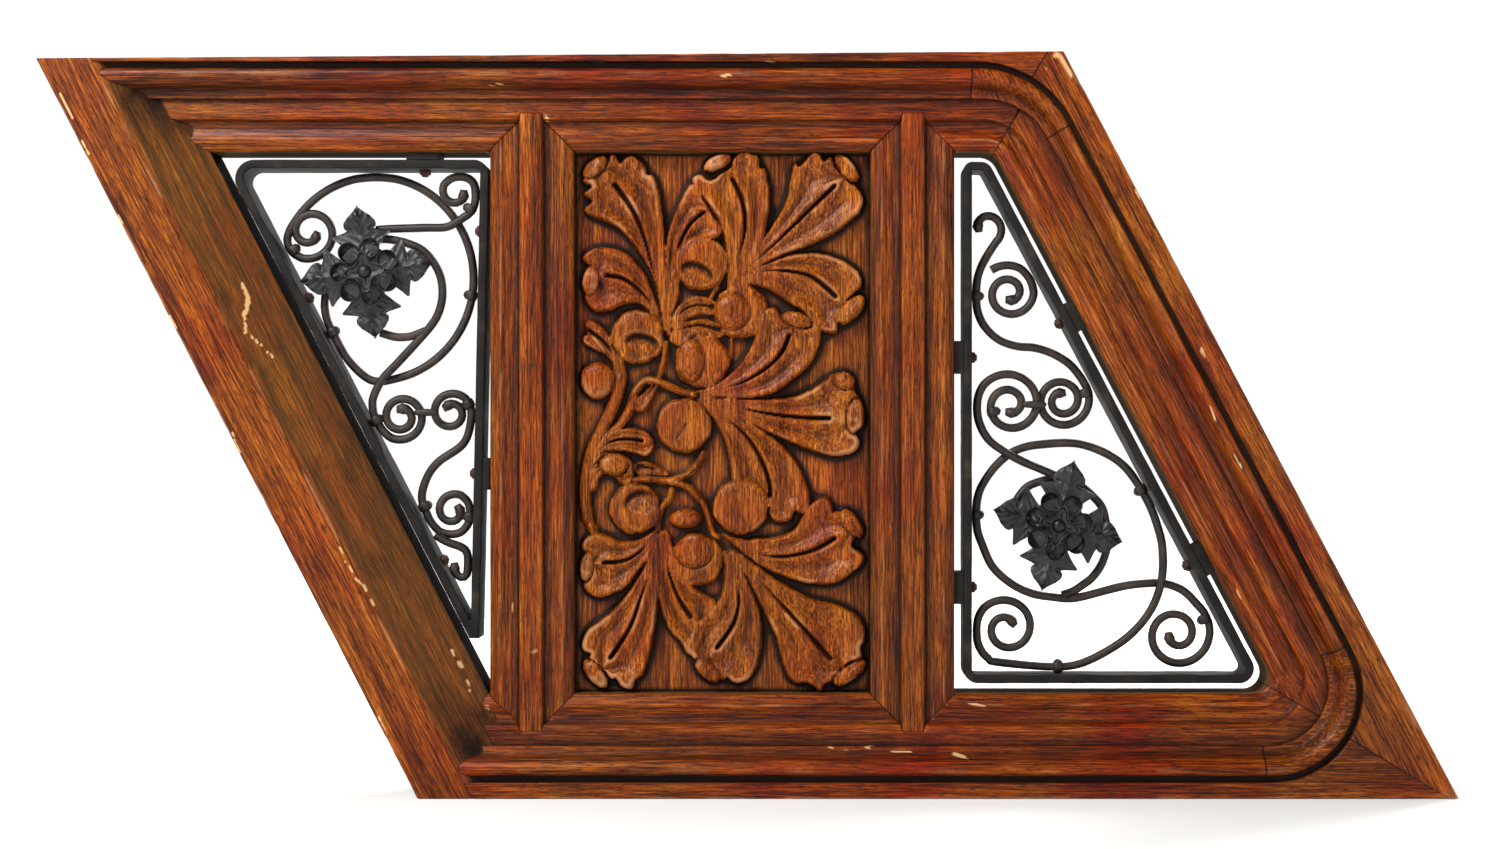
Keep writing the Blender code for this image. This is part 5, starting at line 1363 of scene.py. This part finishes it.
LEFT_SCROLLS_HEIGHT = 437.6
RIGHT_SCROLLS_HEIGHT = 477.5
LEFT_OPENING_SLANT = LEFT_EDGE.shifted(STILE_WIDTH)
RIGHT_OPENING_SLANT = RIGHT_GROOVE.shifted(MOULDING_WIDTH)
OPENING_HEAD = TOP_GROOVE.shifted(MOULDING_WIDTH)
OPENING_FOOT = BOTTOM_GROOVE.shifted(MOULDING_WIDTH)
LEFT_SIDE_X = LEFT_MUNTIN_X - MUNTIN_HALF
RIGHT_SIDE_X = RIGHT_MUNTIN_X + MUNTIN_HALF
LEFT_OPENING_SIDE = Line(Vector((LEFT_SIDE_X, 1)), Vector((LEFT_SIDE_X, 0)))
RIGHT_OPENING_SIDE = Line(Vector((RIGHT_SIDE_X, 0)), Vector((RIGHT_SIDE_X, 1)))
LEFT_UPRIGHT = LEFT_OPENING_SIDE.tilted((OPENING_BOTTOM + OPENING_TOP) / 2, LEFT_UPRIGHT_TILT)
LEFT_GRILLE = Grille(
    OPENING_HEAD, LEFT_OPENING_SIDE, LEFT_UPRIGHT, LEFT_OPENING_SLANT, LEFT_OPENING_SLANT, LEFT_GRILLE_GAP,
    LEFT_SCROLLS_HEIGHT,
)
RIGHT_GRILLE = Grille(
    OPENING_FOOT, RIGHT_OPENING_SIDE, RIGHT_OPENING_SIDE, RIGHT_OPENING_SLANT, OPENING_HEAD, RIGHT_GRILLE_GAP,
    RIGHT_SCROLLS_HEIGHT,
)


def level_where(slant, upright, width):
    """The line, running left, above where two lines meet, on which they stand a width apart."""
    apex = slant.meet(upright)
    spread = abs(slant.at_height(apex.y + 1).x - upright.at_height(apex.y + 1).x)
    start = apex + Vector((0, width / spread))
    return Line(start, start + Vector((-1, 0)))


def rounded(lines, radii):
    """The closed outline inside clockwise lines, with an arc at the end of each."""
    points = []
    for i, line in enumerate(lines):
        following = lines[(i + 1) % len(lines)]
        turn = line.along.angle(following.along)
        centre = line.shifted(radii[i]).meet(following.shifted(radii[i]))
        for step in range(ARC_STEPS + 1):
            points.append(centre + clockwise(-line.inward, turn * step / ARC_STEPS) * radii[i])
    return points


EDGE_ROUND = 0.0009


def make_bar(name, outer_lines, inner_lines, radii):
    """A flat bar bent round to a closed frame, its edges rounded and its faces a little uneven."""
    outer = rounded(outer_lines, radii)
    inner = rounded(inner_lines, [max(radius - BAR_WIDTH, GAP) for radius in radii])
    back = BAR_FRONT + BAR_DEPTH
    r = EDGE_ROUND
    stations = (
        (0, BAR_FRONT + 2 * r), (0, BAR_FRONT + r), (0.04, BAR_FRONT + 0.3 * r), (0.12, BAR_FRONT),
        (0.5, BAR_FRONT - 0.2 * r), (0.88, BAR_FRONT), (0.96, BAR_FRONT + 0.3 * r), (1, BAR_FRONT + r),
        (1, BAR_FRONT + 2 * r), (1, back - r), (0.9, back), (0.1, back), (0, back - r),
    )
    rings = [
        [place(out.lerp(into, share), depth) for share, depth in stations] for out, into in zip(outer, inner)
    ]
    dense = []
    for near, far in zip(rings, rings[1:] + rings[:1]):
        dense += run_between(near, far, BAR_RING_SPACING)
    made = loft(name, dense, closed=True, sharp_angle=50.0)
    mesh = made.data
    places = np.array([vertex.co for vertex in mesh.vertices])
    normals = np.array([vertex.normal for vertex in mesh.vertices])
    dents = patchy(places, 14 * MM, 81) + 0.5 * patchy(places, 5 * MM, 82) - 0.75
    places += normals * (dents * BAR_DENTS)[:, None]
    mesh.vertices.foreach_set("co", places.astype(np.float32).reshape(-1))
    mesh.update()
    return made


def make_grille_frames():
    outer = [line.shifted(LEFT_GRILLE_GAP) for line in (OPENING_HEAD, LEFT_UPRIGHT, LEFT_OPENING_SLANT)]
    inner = [line.shifted(BAR_WIDTH) for line in outer]
    outer.insert(2, level_where(outer[2], outer[1], LEFT_TIP_OUTSIDE))
    inner.insert(2, level_where(inner[2], inner[1], LEFT_TIP_INSIDE))
    made = make_bar("left_grille_bars", outer, inner, LEFT_BEND_RADII)
    finish(made, "left_grille_frame", BAR_IRON)
    sides = (OPENING_HEAD, RIGHT_OPENING_SLANT, OPENING_FOOT, RIGHT_OPENING_SIDE)
    outer = [line.shifted(RIGHT_GRILLE_GAP) for line in sides]
    inner = [line.shifted(BAR_WIDTH) for line in outer]
    made = make_bar("right_grille_bars", outer, inner, RIGHT_BEND_RADII)
    finish(made, "right_grille_frame", BAR_IRON)


SCROLL_STEP = 10.0


def scroll(grille, x, z, start, end, outer, inner, shift=0.0):
    """A spiral about a drawn point, from one angle and radius to another."""
    steps = max(2, round(abs(end - start) / SCROLL_STEP))
    points = []
    for i in range(steps + 1):
        share = i / steps
        reach = outer + (inner - outer) * share
        turned = direction(start + (end - start) * share)
        points.append(grille.at(x + reach * turned.x, z + reach * turned.y, shift))
    return points


def evened(points, spacing):
    """Points at even steps along a smooth curve through the given ones."""
    dense = smooth(points, 8)
    steps = [0.0]
    for start, end in zip(dense, dense[1:]):
        steps.append(steps[-1] + (end - start).length)
    wanted = np.linspace(0, steps[-1], max(2, round(steps[-1] / spacing)) + 1)
    columns = [np.interp(wanted, steps, [point[k] for point in dense]) for k in range(3)]
    return [Vector(values) for values in zip(*columns)]


def eased(path, kept_in):
    """Rounds the path where it was moved in from the bars."""
    moved = np.array([(a - b).length > 1e-6 for a, b in zip(path, kept_in)], float)
    near = np.convolve(moved, np.ones(9), "same") > 0
    places = np.array([tuple(point) for point in kept_in])
    for _ in range(14):
        middle = places.copy()
        middle[1:-1] = (places[:-2] + 2 * places[1:-1] + places[2:]) / 4
        places[near] = middle[near]
    return [Vector(place_at) for place_at in places]


ROD_SIDES = 12
ROD_SWELL = 1.06
BULB = 1.35


def make_rod(name, path, open_ends, seed):
    """A forged rod: round, slightly uneven, with a bulb at each free end."""
    path = evened(path, ROD_RING_SPACING)
    lengths = np.concatenate([[0], np.cumsum([(b - a).length for a, b in zip(path, path[1:])])])
    uneven = patchy(np.array([tuple(point) for point in path]), 13 * MM, seed)
    rings = []
    radius = ROD_DIAMETER / 2
    for i, here in enumerate(path):
        ahead = (path[min(i + 1, len(path) - 1)] - path[max(i - 1, 0)]).normalized()
        side = Vector((-ahead.y, ahead.x)).normalized()
        reach = radius * (ROD_SWELL - 0.03 + 0.07 * uneven[i])
        for end, length in ((0, lengths[i]), (1, lengths[-1] - lengths[i])):
            if end in open_ends:
                swell = max(0.0, 1 - length / (radius * 3.2))
                reach *= 1 + (BULB - 1) * math.sin(math.pi * min(1.0, swell * 1.15)) if swell > 0 else 1
                tip = min(1.0, length / (radius * 1.1))
                reach *= math.sqrt(max(0.02, 1 - (1 - tip) ** 2))
        ring = []
        for j in range(ROD_SIDES):
            turned = direction(360 * j / ROD_SIDES)
            flat = here.xy + side * (reach * turned.x)
            ring.append(place(flat, ROD_DEPTH + here.z + reach * turned.y))
        rings.append(ring)
    return loft(name, rings, sharp_angle=70.0)


def left_rods():
    grille = LEFT_GRILLE
    back, front = ROD_SHIFT, -ROD_SHIFT

    def ring(degrees):
        turned = direction(degrees)
        return grille.at(-98 + 93.5 * turned.x, -103 + 97.5 * turned.y, back)

    return {
        "left_ring": (
            [grille.at(x, z, back) for x, z in (
                (-139, -104), (-145, -114), (-147, -128), (-145, -145), (-137, -165), (-122, -184))]
            + [ring(degrees) for degrees in range(268, 268 + 241, 15)]
            + scroll(grille, -161, -58.5, 206, 740, 28, 5, back)
        ),
        "left_top_scroll": (
            [grille.at(x, z, front) for x, z in ((-96, -57), (-82, -56), (-50, -55), (-28, -54))]
            + scroll(grille, -19, -21.5, -72, 400, 24, 4, front)
        ),
        "left_s_scroll": (
            [grille.at(x, z, front) for x, z in (
                (-98, -66), (-84, -66), (-66, -70), (-50, -78), (-37, -96), (-33, -115), (-36, -134),
                (-46, -151),
                (-75, -183), (-90, -199), (-99, -217), (-100, -233))]
            + scroll(grille, -72, -235, 205, 860, 23.5, 6, front)
        ),
        "left_side_branch": [
            grille.at(x, z, front) for x, z in (
                (-49, -153), (-60, -157.5), (-67, -159), (-78, -159), (-92, -155))
        ],
        "left_side_scroll": (
            scroll(grille, -26, -231, 530, 5, 6, 20.5, back)
            + [grille.at(x, z, back) for x, z in ((-13, -259), (-38, -278), (-49, -293), (-54, -312))]
            + scroll(grille, -24, -325, 190, 800, 25, 4, back)
        ),
        "left_foot_scroll": (
            [grille.at(-41, -348, front), grille.at(-32, -353, front)]
            + scroll(grille, -17, -378, 92, -250, 20, 4.5, front)
        ),
    }


def right_rods():
    grille = RIGHT_GRILLE
    back, front = ROD_SHIFT, -ROD_SHIFT
    bends = (
        (74, 5.5, 0.2), (93, 5.5, 0), (117, 14, -0.3), (144, 30, -0.6), (162, 47, -1), (175, 67, -1),
        (182, 90, -1), (183, 113, -1), (180, 134, -0.7), (168, 166, -0.3), (144, 200, 0.1), (107, 218, 0.7),
        (67, 218, 1), (43, 212, 1), (25, 198, 1), (11, 178, 1), (5, 160, 1), (4.5, 142, 1), (11, 124, 1),
        (21, 102, 1), (38, 86, 1), (58, 76, 1), (80, 72, 1), (102, 71.5, 1), (144, 82, 1), (166, 85, 1),
        (186, 85, 1), (204, 78, 0.7),
    )
    return {
        "right_top_scroll": (
            scroll(grille, 15, 425.5, 230, -54, 5, 17, back)
            + [grille.at(x, z, back) for x, z in (
                (16, 398), (9, 384), (5, 370), (5, 350), (14, 331), (28, 318), (45, 312), (62, 310.5),
                (79, 305), (95, 295), (106, 282))]
            + scroll(grille, 88, 260, 40, -670, 27, 6, back)
        ),
        "right_top_inner_scroll": scroll(grille, 37.3, 362.5, 128, -500, 28, 4.5),
        "right_side_scroll": (
            scroll(grille, 37.3, 255.7, -500, 182, 5, 33, front)
            + [grille.at(x, z, front) for x, z in (
                (6, 243), (16, 224), (31, 212), (49, 202), (67, 194.5), (84, 187))]
        ),
        "right_ring_scroll": (
            scroll(grille, 34.4, 42.8, 0, 610, 6, 34)
            + [grille.at(x, z, shift * back) for x, z, shift in bends]
            + scroll(grille, 196.7, 37, 50, -570, 34, 5)
        ),
        "right_inner_scroll": [
            grille.at(x, z, back) for x, z in (
                (88, 74), (99, 78), (108, 84), (117, 91), (126, 104), (131, 120), (131, 136), (127, 156),
                (118, 168), (103, 180), (84, 186), (62, 181), (52, 175), (44, 164))
        ],
    }


# Which ends of each rod stand free and end in a bulb: 0 is the first, 1 the last
FREE_ENDS = {
    "left_ring": (1,), "left_top_scroll": (1,), "left_s_scroll": (1,), "left_side_branch": (),
    "left_side_scroll": (0, 1), "left_foot_scroll": (1,), "right_top_scroll": (0, 1),
    "right_top_inner_scroll": (1,),
    "right_side_scroll": (0,), "right_ring_scroll": (0, 1), "right_inner_scroll": (),
}


def make_rods():
    """All rods; it returns their paths, so that the collars can follow them."""
    paths = []
    for grille, rods in ((LEFT_GRILLE, left_rods()), (RIGHT_GRILLE, right_rods())):
        for seed, (name, points) in enumerate(rods.items(), 600):
            path = evened([Vector(p) for p in points], ROD_PATH_SPACING)
            path = eased(path, [grille.inside(point) for point in path])
            made = make_rod(name + "_rod", path, FREE_ENDS[name], seed)
            finish(made, name, ROD_IRON)
            paths.append((grille, path))
    return paths


def make_collars(paths):
    """Bands round the rods with a knob on the inner side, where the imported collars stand."""
    for name in sorted(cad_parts):
        if "_collar_" not in name:
            continue
        low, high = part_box(name)
        middle = (low + high) / 2
        flat = Vector((middle.x, middle.z))
        grille, path = min(paths, key=lambda entry: min((point.xy - flat).length for point in entry[1]))
        i = min(range(1, len(path) - 1), key=lambda k: (path[k].xy - flat).length)
        along = (path[i + 1] - path[i - 1]).xy.normalized()
        bar = min(grille.inner.values(), key=lambda line: line.distance(flat))
        side = Vector((-along.y, along.x))
        if side.dot(bar.inward) < 0:
            side = -side
        depth = middle.y - FRONT
        rings = []
        for run, reach, knob in (
            (-4.4, 4.2, 0.0), (-4.0, 5.3, 0.2), (-2.9, 5.7, 0.9), (-1.4, 5.9, 1.6), (0.0, 6.0, 1.9),
            (1.4, 5.9, 1.6), (2.9, 5.7, 0.9), (4.0, 5.3, 0.2), (4.4, 4.2, 0.0),
        ):
            ring = []
            for j in range(16):
                turned = direction(360 * j / 16)
                bulge = reach + knob * max(0.0, turned.x) ** 3
                point = flat + along * (run * MM) + side * (bulge * turned.x * MM)
                ring.append(place(point, depth + bulge * turned.y * MM))
            rings.append(ring)
        made = loft(name + "_band", rings, sharp_angle=70.0)
        finish(made, name, ROD_IRON)


def make_nuts():
    """Rough six-sided nuts with the bolt's end showing."""
    for name in sorted(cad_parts):
        if "_nut_" not in name:
            continue
        low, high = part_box(name)
        middle = (low + high) / 2
        flat = Vector((middle.x, middle.z))
        grille = LEFT_GRILLE if name.startswith("left") else RIGHT_GRILLE
        bar = min(grille.inner.values(), key=lambda line: abs(line.distance(flat)))
        axis = bar.inward
        side = Vector((-axis.y, axis.x))
        start = flat - axis * bar.distance(flat)
        rings = []
        for run, reach in (
            (0.2, 4.6), (0.6, 5.3), (3.0, 5.4), (4.2, 5.0), (4.6, 3.4), (5.6, 3.3), (6.2, 2.6),
        ):
            ring = []
            for j in range(12):
                turned = direction(30 * j)
                flatness = 1 - 0.09 * math.cos(math.radians(180 * j)) if run < 4.4 else 1
                point = start + axis * (run * MM) + side * (reach * flatness * turned.x * MM)
                ring.append(place(point, ROD_DEPTH + reach * flatness * turned.y * MM))
            rings.append(ring)
        made = loft(name + "_rusted", rings, sharp_angle=40.0)
        finish(made, name, RUSTY_IRON)


def make_clips():
    """Straps forged over two scrolls that touch."""
    for name in ("left_clip", "right_clip"):
        low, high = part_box(name)
        rings = []
        for share in np.linspace(0, 1, 15):
            x = low.x + (high.x - low.x) * share
            bulge = math.sin(math.pi * share) ** 0.35
            half = (high.z - low.z) / 2 * (0.35 + 0.65 * bulge)
            thick = (high.y - low.y) * (0.4 + 0.6 * bulge)
            middle_z = (low.z + high.z) / 2
            ring = []
            for j in range(12):
                turned = direction(30 * j)
                y = high.y - thick / 2 + thick / 2 * turned.x
                ring.append(Vector((x, y, middle_z + half * turned.y)))
            rings.append(ring)
        made = loft(name + "_strap", rings, sharp_angle=60.0)
        finish(made, name, ROD_IRON)


# Cast rosettes

# Half width of a leaf at shares of its length, both as shares of its reach: it swells to pointed side lobes,
# narrows behind its blade and comes to a point
LEAF_OUTLINE = (
    (0.00, 0.10), (0.22, 0.16), (0.36, 0.24), (0.48, 0.35), (0.56, 0.44), (0.585, 0.42), (0.61, 0.27),
    (0.64, 0.19), (0.68, 0.20), (0.74, 0.24), (0.80, 0.23), (0.88, 0.17), (0.95, 0.08), (1.00, 0.00),
)

# The petals' ring, a petal and the ball in the middle, as shares of the rosette's reach
PETALS = 7
PETAL_RING = 0.365
PETAL_REACH = 0.152
BALL_REACH = 0.10


def make_rosette(name, centre, turn, node):
    """Four veined leaves, cupped petals, and a hollow-sided square boss with a ball, cast as one."""
    back = BAR_FRONT + BAR_DEPTH / 2 - ROD_SHIFT - ROD_DIAMETER / 2 - GAP
    rise = back - ROSETTE_FRONT
    points, faces = [], []

    def add_sheet(grid, thickness):
        """A grid of (across, up, height over the back) as a closed sheet."""
        rows, columns = len(grid), len(grid[0])
        start = len(points)
        for layer in (0, 1):
            for row in grid:
                for x, z, height in row:
                    lifted = max(0.0002, height - layer * thickness)
                    points.append(Vector((centre.x + x, FRONT + back - lifted, centre.y + z)))
        size = rows * columns
        for i in range(rows - 1):
            for j in range(columns - 1):
                a, b = start + i * columns + j, start + (i + 1) * columns + j
                faces.append((a, a + 1, b + 1, b))
                faces.append((a + size, b + size, b + size + 1, a + size + 1))
        edge = [(0, j) for j in range(columns)] + [(i, columns - 1) for i in range(1, rows)]
        edge += [(rows - 1, j) for j in range(columns - 2, -1, -1)] + [(i, 0) for i in range(rows - 2, 0, -1)]
        numbers = [start + i * columns + j for i, j in edge]
        for a, b in zip(numbers, numbers[1:] + numbers[:1]):
            faces.append((a, b, b + size, a + size))

    def turned_by(x, z, degrees):
        c, s = math.cos(math.radians(degrees)), math.sin(math.radians(degrees))
        return x * c - z * s, x * s + z * c

    shares, widths = zip(*LEAF_OUTLINE)
    for leaf in range(4):
        grid = []
        for along in np.linspace(0.0, 1.0, 61):
            half = np.interp(along, shares, widths) * ROSETTE_REACH
            row = []
            for across in np.linspace(-1, 1, 19):
                swept = along - 0.05 * abs(across) ** 2 * step_up(along, 0.64, 0.70)
                x = swept * ROSETTE_REACH * 0.995
                z = across * half
                arch = 0.62 - 0.25 * along - 0.30 * max(0.0, along - 0.75) ** 1.5 + 0.10 * math.sin(along * 9)
                rib = 0.10 * math.exp(-(across / 0.12) ** 2)
                veins = 0.035 * math.cos((along * 2.2 - abs(across) * 0.8) * 2 * math.pi * 3)
                dish = -0.16 * abs(across) ** 1.6
                lifted = arch + rib + veins * (abs(across) > 0.1) + dish
                row.append((*turned_by(x, z, turn + 90 * leaf), rise * lifted))
            grid.append(row)
        add_sheet(grid, 0.0022)

    # A round base under the petals
    base = []
    for reach in np.linspace(0.02, 0.40, 8):
        row = []
        for bearing in np.linspace(0, 360, 33):
            turned = direction(bearing)
            x, y = reach * ROSETTE_REACH * turned.x, reach * ROSETTE_REACH * turned.y
            row.append((x, y, rise * (0.62 - 0.3 * reach)))
        base.append(row)
    add_sheet(base, rise * 0.45)

    for petal in range(PETALS):
        spot = direction(turn + 20 + 360 / PETALS * petal) * (ROSETTE_REACH * PETAL_RING)
        cup = []
        for share in np.linspace(0.03, 1.0, 10):
            row = []
            for bearing in np.linspace(0, 360, 25):
                turned = direction(bearing)
                reach = share * ROSETTE_REACH * PETAL_REACH
                bowl = 0.30 + 0.42 * share ** 3.0 + (0.06 if share > 0.93 else 0.0)
                row.append((spot.x + reach * turned.x, spot.y + reach * turned.y, rise * bowl))
            cup.append(row)
        add_sheet(cup, 0.0016)

    boss = []
    for share in np.linspace(0.02, 1.0, 12):
        row = []
        for bearing in np.linspace(0, 360, 49):
            corner = math.cos(math.radians(2 * bearing)) ** 2
            reach = share * ROSETTE_REACH * (0.165 + 0.15 * corner ** 2)
            turned = direction(bearing + turn)
            height = 0.72 + 0.10 * share ** 2 + (0.14 if share > 0.84 else 0.0)
            row.append((reach * turned.x, reach * turned.y, rise * height))
        boss.append(row)
    add_sheet(boss, 0.0030)

    ball = []
    for tilt in np.linspace(1, 89, 9):
        row = []
        for bearing in np.linspace(0, 360, 21):
            turned = direction(bearing)
            reach = ROSETTE_REACH * BALL_REACH * math.sin(math.radians(tilt))
            height = rise * 0.72 + (rise * 0.27) * math.cos(math.radians(tilt))
            row.append((reach * turned.x, reach * turned.y, height))
        ball.append(row)
    add_sheet(ball, 0.0015)

    made = make_mesh(name, points, faces, None, 40.0)
    face_outwards(made)
    finish(made, node, CAST_IRON)


# Setting: a round white floor, a white room, soft lamps and the photograph's camera

FLOOR_RADIUS = 9.0
FLOOR_SIDES = 64
FLOOR_GAP = 0.0006


def make_floor():
    """A round white floor that glows softly away from the panel, as paper under studio light does."""
    ring = [direction(360 * i / FLOOR_SIDES) * FLOOR_RADIUS for i in range(FLOOR_SIDES)]
    points = [(p.x, p.y, -FLOOR_GAP) for p in ring]
    made = make_mesh("white_floor", points, [tuple(range(FLOOR_SIDES))], None, 180.0)
    material, tree, shader = blank_material("White paper")
    shader.inputs["Base Color"].default_value = srgb("F4F4F2")
    shader.inputs["Roughness"].default_value = 0.9
    shader.inputs["Emission Color"].default_value = srgb("FFFFFF")
    where = add_node(tree, "ShaderNodeTexCoord").outputs["Object"]
    away = add_node(tree, "ShaderNodeVectorMath", {0: where}, operation="LENGTH").outputs["Value"]
    glow = add_node(tree, "ShaderNodeMapRange", {
        "Value": away, "From Min": 0.6, "From Max": 1.9, "To Max": 0.9,
    })
    tree.links.new(glow.outputs[0], shader.inputs["Emission Strength"])
    made.data.materials.append(material)


def light_the_room():
    """A white room: bright near the horizon, so that every view has a pale background, and dim overhead."""
    world = bpy.data.worlds.new("Studio")
    world.use_nodes = True
    tree = world.node_tree
    towards_sky = add_node(tree, "ShaderNodeTexCoord").outputs["Generated"]
    rise = add_node(tree, "ShaderNodeSeparateXYZ", {"Vector": towards_sky}).outputs["Z"]
    strength = add_node(tree, "ShaderNodeMapRange", {
        "Value": rise, "From Min": 0.22, "From Max": 0.5, "To Min": 1.03, "To Max": 0.12,
    })
    background = tree.nodes["Background"]
    background.inputs["Color"].default_value = srgb("FFFFFF")
    tree.links.new(strength.outputs[0], background.inputs["Strength"])
    bpy.context.scene.world = world


def add_lamp(name, place_at, aim, size, power, colour="FFFFFF"):
    lamp = bpy.data.lights.new(name, "AREA")
    lamp.shape = "RECTANGLE"
    lamp.size, lamp.size_y = size
    lamp.energy = power
    lamp.color = srgb(colour)[:3]
    holder = bpy.data.objects.new(name, lamp)
    bpy.context.scene.collection.objects.link(holder)
    holder.location = place_at
    holder.rotation_euler = (Vector(aim) - Vector(place_at)).to_track_quat("-Z", "Y").to_euler()


def set_the_stage():
    make_floor()
    light_the_room()
    add_lamp("key softbox", (-1.3, -1.6, 2.1), (0.0, 0.0, 0.35), (1.0, 1.0), 94.0)
    add_lamp("fill softbox", (1.9, -2.2, 0.9), (0.1, 0.0, 0.3), (1.6, 1.6), 4.0)
    add_lamp("top softbox", (0.0, 0.4, 2.4), (0.0, 0.0, 0.3), (2.2, 1.2), 16.0)
    add_lamp("rear softbox", (1.4, 1.9, 1.9), (0.0, 0.0, 0.35), (1.2, 1.2), 55.0)
    bpy.context.scene.view_settings.view_transform = "Standard"

    camera = bpy.data.cameras.new("Camera")
    camera.sensor_width = 36.0
    camera.lens = camera.sensor_width * CAMERA_DISTANCE / (IMAGE_SIZE[0] * PIXEL)
    camera.shift_x = (IMAGE_SIZE[0] / 2 - OPTICAL_CENTRE[0]) / IMAGE_SIZE[0]
    camera.shift_y = (OPTICAL_CENTRE[1] - IMAGE_SIZE[1] / 2) / IMAGE_SIZE[0]
    holder = bpy.data.objects.new("Camera", camera)
    holder.location = (CAMERA_X, FRONT - CAMERA_DISTANCE, CAMERA_Z)
    holder.rotation_euler = (math.radians(90), 0, 0)
    bpy.context.scene.collection.objects.link(holder)
    bpy.context.scene.camera = holder


make_oak_frame()
make_left_board()
make_carving()
make_grille_frames()
rod_paths = make_rods()
make_collars(rod_paths)
make_nuts()
make_clips()
make_rosette("left_rosette_casting", LEFT_GRILLE.at(-104, -98).xy, LEFT_ROSETTE_TURN, "left_rosette")
make_rosette("right_rosette_casting", RIGHT_GRILLE.at(82, 141).xy, RIGHT_ROSETTE_TURN, "right_rosette")
for packed_name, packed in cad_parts.items():
    if "_packing_" in packed_name:
        packed.data.materials.clear()
        packed.data.materials.append(BAR_IRON)
set_the_stage()
